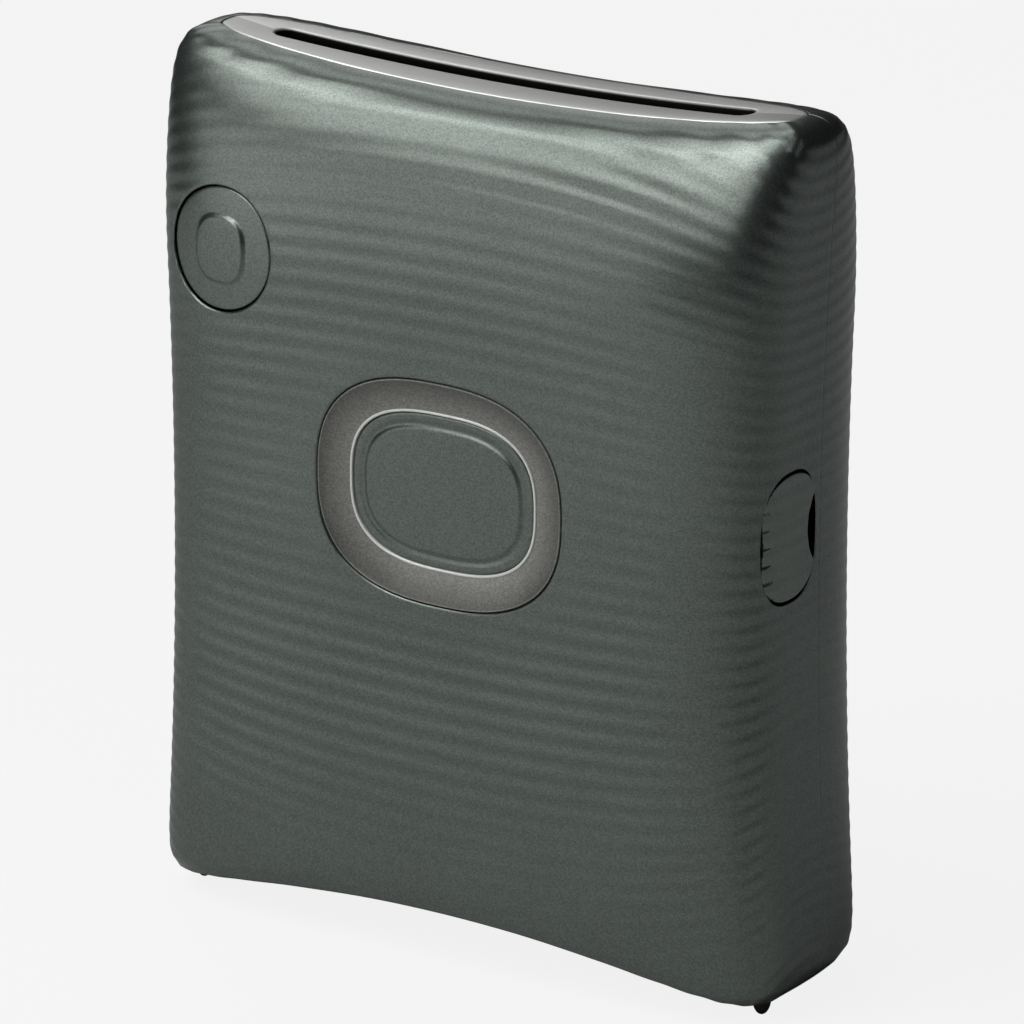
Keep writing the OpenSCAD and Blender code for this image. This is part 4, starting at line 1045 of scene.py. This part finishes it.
class PRINTER_OT_film_door(bpy.types.Operator):
    """Rippled film door with its hinge edge, film window and sliding lock"""
    bl_idname = "printer.film_door"
    bl_label = "Film Door"

    def execute(self, context):
        s = context.scene.printer_case
        door, hollow = case_solid("film_door_panel", 1), cavity("hollow")
        solid = [bar("edge", "x", (HINGE_Y, DOOR_LOW), HINGE_R, -28, 28)]
        solid += [bar("boss", "y", (k * 8, MID_Z), 2.5, 17.6, 30, 32) for k in (-1, 1)]
        combine(hollow, solid, "DIFFERENCE")
        combine(door, [hollow], "DIFFERENCE")
        combine(door, [cutter("door", door_grow, place_door, 0.0, s.lip_radius, 14.0, -1)], "INTERSECT")
        tools = []
        for k in (-1, 1):
            x = k * EAR_X
            tools.append(box("slot", (x - 1.8, HINGE_Y - 2.3, 5), (x + 1.8, 40, DOOR_LOW + 2.3)))
            tools.append(bar("bore", "x", (HINGE_Y, DOOR_LOW), 0.85, x - 6.7, x + 6.7))
        tools.append(cutter("lock_hole", lock_grow, place_lock, GAP, SMALL_LIP, 4.0))
        tools.append(cutter("window_hole", window_grow, place_window, 0.05, SMALL_LIP, 5.0))
        combine(door, tools, "DIFFERENCE")
        # Painted shade on the door's edge walls, from 0.3 to 1.2 mm under the skin.
        paint_shade_inside(door, 0.3, 1.2)
        finished(door, "door", ["film_door"], case_paint())
        rows = [depth_row(place_window(window_grow(0) * k), WALL) for k in (0.2, 0.6, 1.0)]
        for m, d in ((0, 0.25), (-0.06, 0.12), (-0.2, 0.08)):
            rows.append(depth_row(place_window(window_grow(m)), d))
        rows += [depth_row(place_window(window_grow(-0.2) * k), 0.08) for k in (0.7, 0.4, 0.15)]
        pane = closed_rows("film_window_pane", rows)
        clear = layered("Window Clear", (0.62, 0.60, 0.50), (0.72, 0.70, 0.60), 0.08, 0.0, fleck=0.1,
                        grain=5e-7, rough_swing=0.02, transmission=0.85, ior=1.49)
        finished(pane, "door", ["film_window"], clear)
        self.lock_piece()
        return {"FINISHED"}

    def lock_piece(self):
        """Thumb piece with five grip ridges: a height over a grid of x and z, closed down to its tongue."""
        a, low, high = LOCK_W / 2, LOCK_Z - LOCK_H / 2, LOCK_Z + LOCK_H / 2
        gx, gz = np.meshgrid(np.linspace(-a, a, 61), np.linspace(low, high, 49), indexing="ij")
        origin = np.stack([gx, np.full_like(gx, MID_Y), gz], -1)
        skin = cast(origin, np.array([0.0, 1.0, 0.0]))
        edge = np.minimum(np.minimum(a - np.abs(gx), gz - low), high - gz)
        ridge = 0.28 * (0.5 - 0.5 * np.cos(2 * math.pi * (gz - low - 0.6) / 0.7))
        ridge *= (np.abs(gx) < 5.2) * (np.abs(gz - LOCK_Z) < 1.45)
        down = 0.1 + ridge + np.clip(0.3 - edge, 0, 0.3) ** 2 * 3
        top = skin[..., 1] - down
        n, m = gx.shape
        upper = np.stack([gx, top, gz], -1).reshape(-1, 3)
        lower = np.stack([gx, np.full_like(gx, 14.3), gz], -1).reshape(-1, 3)
        i, j = np.meshgrid(np.arange(n - 1), np.arange(m - 1), indexing="ij")
        quad = np.stack([i * m + j, (i + 1) * m + j, (i + 1) * m + j + 1, i * m + j + 1], -1).reshape(-1, 4)
        border = np.concatenate([np.arange(n) * m, (n - 1) * m + np.arange(1, m),
                                 np.arange(n - 2, -1, -1) * m + m - 1, np.arange(m - 2, 0, -1)])
        nxt = np.roll(border, -1)
        wall = np.stack([border, nxt, nxt + n * m, border + n * m], -1)
        faces = np.concatenate([quad, quad + n * m, wall]).tolist()
        piece = new_mesh("door_lock_slide", np.concatenate([upper, lower]), faces)
        combine(piece, [box("tongue", (-4.5, 14.0, low), (4.5, 15.3, 102.7))], "UNION")
        mat = layered("Lock Plastic", (0.045, 0.05, 0.048), (0.065, 0.07, 0.068), 0.5, 0.0, fleck=0.4,
                      grain=8e-6)
        finished(piece, "lock", ["door_lock"], mat)


class PRINTER_OT_feet(bpy.types.Operator):
    """Four small rubber feet with domed ends"""
    bl_idname = "printer.feet"
    bl_label = "Feet"

    def execute(self, context):
        rubber = layered("Foot Rubber", (0.02, 0.02, 0.02), (0.035, 0.035, 0.035), 0.7, 0.0, specular=0.3)
        for row, (x, y) in (("front", FOOT_FRONT), ("rear", FOOT_REAR)):
            for name, k in (("left", -1), ("right", 1)):
                foot = closed_rows(f"dome_{row}_{name}", self.dome(k * x, y))
                finished(foot, "housing", [f"foot_{row}_{name}"], rubber)
        return {"FINISHED"}

    def dome(self, x, y):
        """Circles from the tip up: the radius is the foot's times the sine of an angle, the height its
        share of one less the cosine, and a straight stem follows."""
        k = np.linspace(0.12, 1, 12) * math.pi / 2
        size = np.append(np.sin(k), [1.0, 0.6]) * FOOT_R
        height = np.append(FOOT_TIP * (math.cos(k[0]) - np.cos(k)), [FOOT_TOP, FOOT_TOP])
        circle = oval(1.0, 1.0, 2.0, turns(48))
        rows = size[:, None, None] * circle + (x, y)
        return np.concatenate([rows, np.broadcast_to(height[:, None, None], (len(size), 48, 1))], -1)


class PRINTER_OT_inner(bpy.types.Operator):
    """Finishes of the carried-over solids: frame, rollers, gears, motor, boards, battery and screws"""
    bl_idname = "printer.inner"
    bl_label = "Inner Parts"

    def execute(self, context):
        finishes = (
            (layered("Steel", (0.50, 0.51, 0.52), (0.66, 0.67, 0.68), 0.26, 1.0, fleck=0.3, grain=2e-6,
                     scratch=0.12),
             "port_pin door_pin_left door_pin_right pressure_spring film_claw idler_pin case_screws "
             "frame_screws board_screws bracket_screws usb_socket"),
            (layered("Sheet Metal", (0.48, 0.49, 0.50), (0.60, 0.61, 0.62), 0.36, 1.0, fleck=0.4,
                     grain=3e-6, scratch=0.15), "roller_bracket"),
            (layered("Frame Plastic", (0.022, 0.024, 0.027), (0.036, 0.038, 0.042), 0.5, 0.0, fleck=0.3,
                     rough_swing=0.08), "chassis exposure_head"),
            (layered("Roller Rubber", (0.028, 0.028, 0.03), (0.045, 0.045, 0.048), 0.72, 0.0,
                     grain=1.5e-5), "drive_roller pinch_roller"),
            (layered("Gear Plastic", (0.66, 0.64, 0.58), (0.76, 0.74, 0.69), 0.42, 0.0, fleck=0.2,
                     grain=4e-6), "drive_gear pinch_gear idler_gear"),
            (layered("Motor Can", (0.42, 0.43, 0.45), (0.56, 0.57, 0.58), 0.33, 0.95, fleck=0.3,
                     grain=3e-6, scratch=0.1), "motor"),
            (layered("Brass", (0.55, 0.38, 0.12), (0.70, 0.50, 0.18), 0.28, 1.0, fleck=0.3, grain=3e-6),
             "motor_pinion"),
            (layered("Board Green", (0.010, 0.075, 0.030), (0.018, 0.105, 0.045), 0.35, 0.0,
                     fleck_size=6e-4, grain=6e-6, coat=0.3), "main_board function_board"),
            (layered("Board White", (0.66, 0.66, 0.64), (0.74, 0.74, 0.72), 0.38, 0.0, fleck=0.3,
                     fleck_size=6e-4, grain=4e-6, coat=0.2), "light_board"),
            (layered("Chip Black", (0.012, 0.012, 0.014), (0.022, 0.022, 0.024), 0.55, 0.0), "board_chips"),
            (layered("Battery Wrap", (0.05, 0.065, 0.10), (0.07, 0.085, 0.13), 0.4, 0.1, fleck=0.3,
                     coat=0.3, drift=60.0), "battery"),
            (layered("Lamp White", (0.80, 0.76, 0.50), (0.88, 0.85, 0.62), 0.3, 0.0, fleck=0.3,
                     grain=2e-6, coat=0.5), "ring_lamps"),
            (layered("Switch Metal", (0.48, 0.48, 0.48), (0.6, 0.6, 0.6), 0.35, 0.9, fleck=0.3,
                     grain=3e-6), "power_switch function_switch"),
        )
        for mat, nodes in finishes:
            for name in nodes.split():
                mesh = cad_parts[name].data
                mesh.materials.clear()
                mesh.materials.append(mat)
        return {"FINISHED"}


class PRINTER_OT_stage(bpy.types.Operator):
    """Pale floor, soft lamps and the camera"""
    bl_idname = "printer.stage"
    bl_label = "Stage"

    def execute(self, context):
        scene = context.scene
        scene.view_settings.view_transform = "Standard"
        corners = [[-FLOOR, -FLOOR, 0], [FLOOR, -FLOOR, 0], [FLOOR, FLOOR, 0], [-FLOOR, FLOOR, 0]]
        floor = new_mesh("floor", corners, [[0, 1, 2, 3]])
        floor.data.materials.append(self.floor_finish())
        self.world()
        middle = Vector((0, 0, 0.06))
        for name, az, el, size, power in LAMPS:
            self.lamp(name, middle + self.way(az, el), middle, size, power, 180)
        for name, reach, power in POOLS:
            spot = self.way(POOL_AZ, 0) * reach
            self.lamp(name, spot + Vector((0, 0, POOL_HEIGHT)), spot, POOL_SIZE, power, POOL_SPREAD)
        self.camera()
        return {"FINISHED"}

    def floor_finish(self):
        """Nearly white to the camera, and a plain pale floor to the light, which keeps a soft shadow."""
        mat = bpy.data.materials.new("Pale Floor")
        mat.use_nodes = True
        tree = mat.node_tree
        base = tree.nodes["Principled BSDF"]
        feed(tree, base, {"Base Color": (0.6, 0.6, 0.6, 1), "Roughness": 0.9})
        white = put(tree, "Emission", {"Color": (1, 1, 1, 1)})
        whitened(tree, base, white, 0.86, "Material Output")
        return mat

    def world(self):
        """White behind the object for the camera, and an even grey that lights it softly."""
        world = bpy.data.worlds.new("Soft Studio")
        bpy.context.scene.world = world
        world.use_nodes = True
        tree = world.node_tree
        back = tree.nodes["Background"]
        feed(tree, back, {"Color": (0.55, 0.56, 0.56, 1), "Strength": 0.04})
        white = put(tree, "Background", {"Color": (1, 1, 1, 1), "Strength": 1.0})
        whitened(tree, back, white, 1.0, "World Output")

    def way(self, az, el):
        """Direction at an angle round the case, from its front towards the right, and an angle up."""
        az, el = math.radians(az), math.radians(el)
        return Vector((math.sin(az) * math.cos(el), -math.cos(az) * math.cos(el), math.sin(el)))

    def lamp(self, name, place, aim, size, power, spread):
        """Square soft lamp at a place, facing another, in a cone of the given angle."""
        data = bpy.data.lights.new(name, "AREA")
        data.size = size
        data.energy = power
        data.spread = math.radians(spread)
        obj = bpy.data.objects.new(name, data)
        bpy.context.collection.objects.link(obj)
        obj.location = place
        obj.rotation_mode = "QUATERNION"
        obj.rotation_quaternion = (aim - place).to_track_quat("-Z", "Y")

    def camera(self):
        """Long lens at the product view's angle, upright, with the frame shifted to centre the case."""
        back = self.way(VIEW_AZ, VIEW_EL)
        data = bpy.data.cameras.new("Product View")
        data.sensor_width = SENSOR
        data.lens = VIEW_FOCAL * SENSOR / VIEW_SIZE
        data.shift_x = (VIEW_SIZE / 2 - VIEW_MIDDLE[0]) / VIEW_SIZE
        data.shift_y = (VIEW_MIDDLE[1] - VIEW_SIZE / 2) / VIEW_SIZE
        data.clip_start, data.clip_end = 0.05, 50.0
        obj = bpy.data.objects.new("Product View", data)
        bpy.context.collection.objects.link(obj)
        obj.location = Vector(VIEW_AIM) + back * VIEW_DISTANCE
        obj.rotation_mode = "QUATERNION"
        obj.rotation_quaternion = (-back).to_track_quat("-Z", "Y")
        bpy.context.scene.camera = obj


class PRINTER_PT_panel(bpy.types.Panel):
    """Lists the steps that build the printer"""
    bl_label = "Photo Printer"
    bl_space_type = "VIEW_3D"
    bl_region_type = "UI"
    bl_category = "Photo Printer"

    def draw(self, context):
        for group in (context.scene.printer_case, context.scene.printer_looks):
            for name in group.__annotations__:
                self.layout.prop(group, name)
        for step in STEPS:
            self.layout.operator(step.bl_idname)


STEPS = (PRINTER_OT_stage, PRINTER_OT_case, PRINTER_OT_top_trim, PRINTER_OT_ring, PRINTER_OT_power_key,
         PRINTER_OT_function_key, PRINTER_OT_port_flap, PRINTER_OT_film_door, PRINTER_OT_feet, PRINTER_OT_inner)
CLASSES = (CaseSizes, Looks, *STEPS, PRINTER_PT_panel)


def register():
    """Adds the classes, and their sizes and colours to the scene."""
    for cls in CLASSES:
        bpy.utils.register_class(cls)
    bpy.types.Scene.printer_case = PointerProperty(type=CaseSizes)
    bpy.types.Scene.printer_looks = PointerProperty(type=Looks)


def unregister():
    """Takes away what register added, in the other order."""
    del bpy.types.Scene.printer_looks
    del bpy.types.Scene.printer_case
    for cls in reversed(CLASSES):
        bpy.utils.unregister_class(cls)


def main():
    """Builds the whole printer, step by step."""
    register()
    bpy.ops.printer.stage()
    bpy.ops.printer.case()
    bpy.ops.printer.top_trim()
    bpy.ops.printer.ring()
    bpy.ops.printer.power_key()
    bpy.ops.printer.function_key()
    bpy.ops.printer.port_flap()
    bpy.ops.printer.film_door()
    bpy.ops.printer.feet()
    bpy.ops.printer.inner()


if __name__ == "__main__":
    main()
